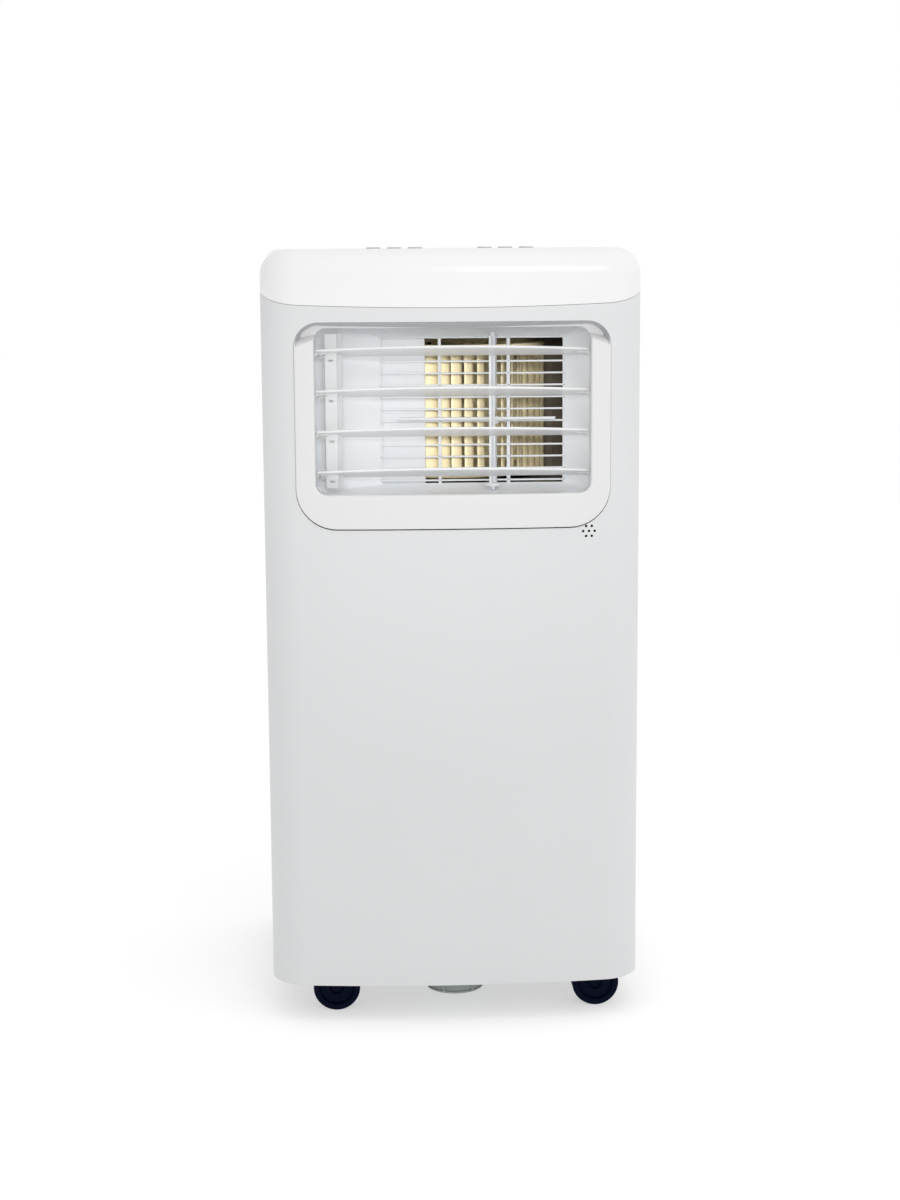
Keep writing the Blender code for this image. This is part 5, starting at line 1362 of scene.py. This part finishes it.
class COOLER_OT_stage(bpy.types.Operator):
    """Lay a pale floor, and add the soft lights and the camera"""

    bl_idname = "cooler.stage"
    bl_label = "Stage"
    lens: bpy.props.FloatProperty(name="Lens", description="Focal length", default=64.98, unit="CAMERA")

    def execute(self, context):
        scene = context.scene
        half = 12.0
        corners = np.array([(-half, -half, 0), (half, -half, 0), (half, half, 0), (-half, half, 0)], float)
        mesh = bpy.data.meshes.new("floor")
        mesh.from_pydata(corners.tolist(), [], [[0, 1, 2, 3]])
        floor = bpy.data.objects.new("floor", mesh)
        scene.collection.objects.link(floor)
        pale = bpy.data.materials.new("pale_floor")
        pale.use_nodes = True
        shader = pale.node_tree.nodes["Principled BSDF"]
        shader.inputs["Base Color"].default_value = (0.55, 0.55, 0.55, 1.0)
        shader.inputs["Roughness"].default_value = 0.9
        shader.inputs["Specular IOR Level"].default_value = 0.0
        shader.inputs["Emission Color"].default_value = (1.0, 1.0, 1.0, 1.0)
        shader.inputs["Emission Strength"].default_value = 0.5
        mesh.materials.append(pale)
        self.sky(scene)
        self.light("key", (0.6, -2.6, 1.7), (0, 0, 0.5), 1.0, 6, True)
        self.light("top", (0.6, -0.8, 3.2), (0, 0, 0.0), 2.4, 12, False)
        self.lamp("front", (-0.08, -2.1, 0.74), (0, -0.14, 0.545), 20, 17)
        aim = (0, -0.12, 0.54)
        inside = self.lamp("outlet", (-0.2, -2.0, 1.0), aim, 27, 15)
        self.only(inside, "duct_satin", "louvre_white")
        deep = self.lamp("blower", (-0.12, -2.05, 0.85), aim, 160, 14)
        self.only(deep, "wheel_plastic", "scroll_lining")
        camera = bpy.data.cameras.new("camera")
        camera.sensor_fit = "VERTICAL"
        camera.sensor_height = 36.0
        camera.lens = self.lens
        eye = bpy.data.objects.new("camera", camera)
        place = Matrix.Translation((-0.0809, -1.9941, 0.6812))
        eye.matrix_world = place @ look_along(yaw=-0.0417, pitch=0.1622, roll=-0.0065)
        scene.collection.objects.link(eye)
        scene.camera = eye
        scene.view_settings.view_transform = "Standard"
        return {"FINISHED"}

    def sky(self, scene):
        """White all round for the camera; as light, a little darker to the left."""
        world = bpy.data.worlds.new("studio")
        world.use_nodes = True
        tree = world.node_tree
        white = tree.nodes["Background"]
        white.inputs["Color"].default_value = (1.0, 1.0, 1.0, 1.0)
        white.inputs["Strength"].default_value = 1.0
        place = tree.nodes.new("ShaderNodeTexCoord")
        parts = tree.nodes.new("ShaderNodeSeparateXYZ")
        tree.links.new(place.outputs["Generated"], parts.inputs[0])
        level = add(tree, "ShaderNodeMapRange", From_Min=-1.0, From_Max=0.6, To_Min=0.78, To_Max=1.0)
        tree.links.new(parts.outputs["X"], level.inputs["Value"])
        soft = add(tree, "ShaderNodeBackground", Color=(1.0, 1.0, 1.0, 1.0))
        tree.links.new(level.outputs[0], soft.inputs["Strength"])
        path = tree.nodes.new("ShaderNodeLightPath")
        mix = tree.nodes.new("ShaderNodeMixShader")
        tree.links.new(path.outputs["Is Camera Ray"], mix.inputs[0])
        tree.links.new(soft.outputs[0], mix.inputs[1])
        tree.links.new(white.outputs[0], mix.inputs[2])
        tree.links.new(mix.outputs[0], tree.nodes["World Output"].inputs["Surface"])
        scene.world = world

    def only(self, lamp, *looks):
        """Lets a light reach only the pieces with these materials."""
        lit = bpy.data.collections.new(f"lit_by_{lamp.name}")
        for obj in bpy.context.scene.objects:
            if obj.type == "MESH" and any(slot and slot.name in looks for slot in obj.data.materials):
                lit.objects.link(obj)
        lamp.light_linking.receiver_collection = lit

    def lamp(self, name, place, aim, power, cone):
        """A soft spot at a place, turned to face a point, with its cone in degrees."""
        data = bpy.data.lights.new(name, "SPOT")
        data.spot_size = math.radians(cone)
        data.spot_blend = 1.0
        data.shadow_soft_size = 0.12
        return self.put(data, name, place, aim, power, False)

    def light(self, name, place, aim, width, power, gloss):
        """A square area light at a place, turned to face a point."""
        data = bpy.data.lights.new(name, "AREA")
        data.size = width
        return self.put(data, name, place, aim, power, gloss)

    def put(self, data, name, place, aim, power, gloss):
        """Places a light; without gloss it gives no highlights."""
        data.energy = power
        lamp = bpy.data.objects.new(name, data)
        lamp.visible_glossy = gloss
        away = Vector(place) - Vector(aim)
        lamp.matrix_world = Matrix.Translation(place) @ away.to_track_quat("Z", "Y").to_matrix().to_4x4()
        bpy.context.scene.collection.objects.link(lamp)
        return lamp


# Panel and registration


PIECES = (
    COOLER_OT_finishes,
    COOLER_OT_front_panel,
    COOLER_OT_rear_casing,
    COOLER_OT_hand_holds,
    COOLER_OT_lid,
    COOLER_OT_bezel,
    COOLER_OT_duct,
    COOLER_OT_louvres,
    COOLER_OT_guard_grille,
    COOLER_OT_vane,
    COOLER_OT_blower_wheel,
    COOLER_OT_inlet_grilles,
    COOLER_OT_ports,
    COOLER_OT_controls,
    COOLER_OT_casters,
    COOLER_OT_drain_cap,
    COOLER_OT_stage,
)


class COOLER_PT_sidebar(bpy.types.Panel):
    """Lists the pieces and their sizes"""

    bl_idname = "COOLER_PT_sidebar"
    bl_label = "Portable Air Conditioner"
    bl_space_type = "VIEW_3D"
    bl_region_type = "UI"
    bl_category = "Cooler"

    def draw(self, context):
        column = self.layout.column(align=True)
        for piece in PIECES:
            column.operator(piece.bl_idname)
        for group in (context.scene.cooler_sizes, context.scene.cooler_colours):
            box = self.layout.box()
            for name in group.__annotations__:
                box.prop(group, name)


CLASSES = (CoolerSizes, CoolerColours, *PIECES, COOLER_PT_sidebar)


def register():
    for item in CLASSES:
        bpy.utils.register_class(item)
    bpy.types.Scene.cooler_sizes = bpy.props.PointerProperty(type=CoolerSizes)
    bpy.types.Scene.cooler_colours = bpy.props.PointerProperty(type=CoolerColours)


def unregister():
    del bpy.types.Scene.cooler_sizes
    del bpy.types.Scene.cooler_colours
    for item in reversed(CLASSES):
        bpy.utils.unregister_class(item)


def main():
    register()
    for piece in PIECES:
        group, name = piece.bl_idname.split(".")
        getattr(getattr(bpy.ops, group), name)()


if __name__ == "__main__":
    main()
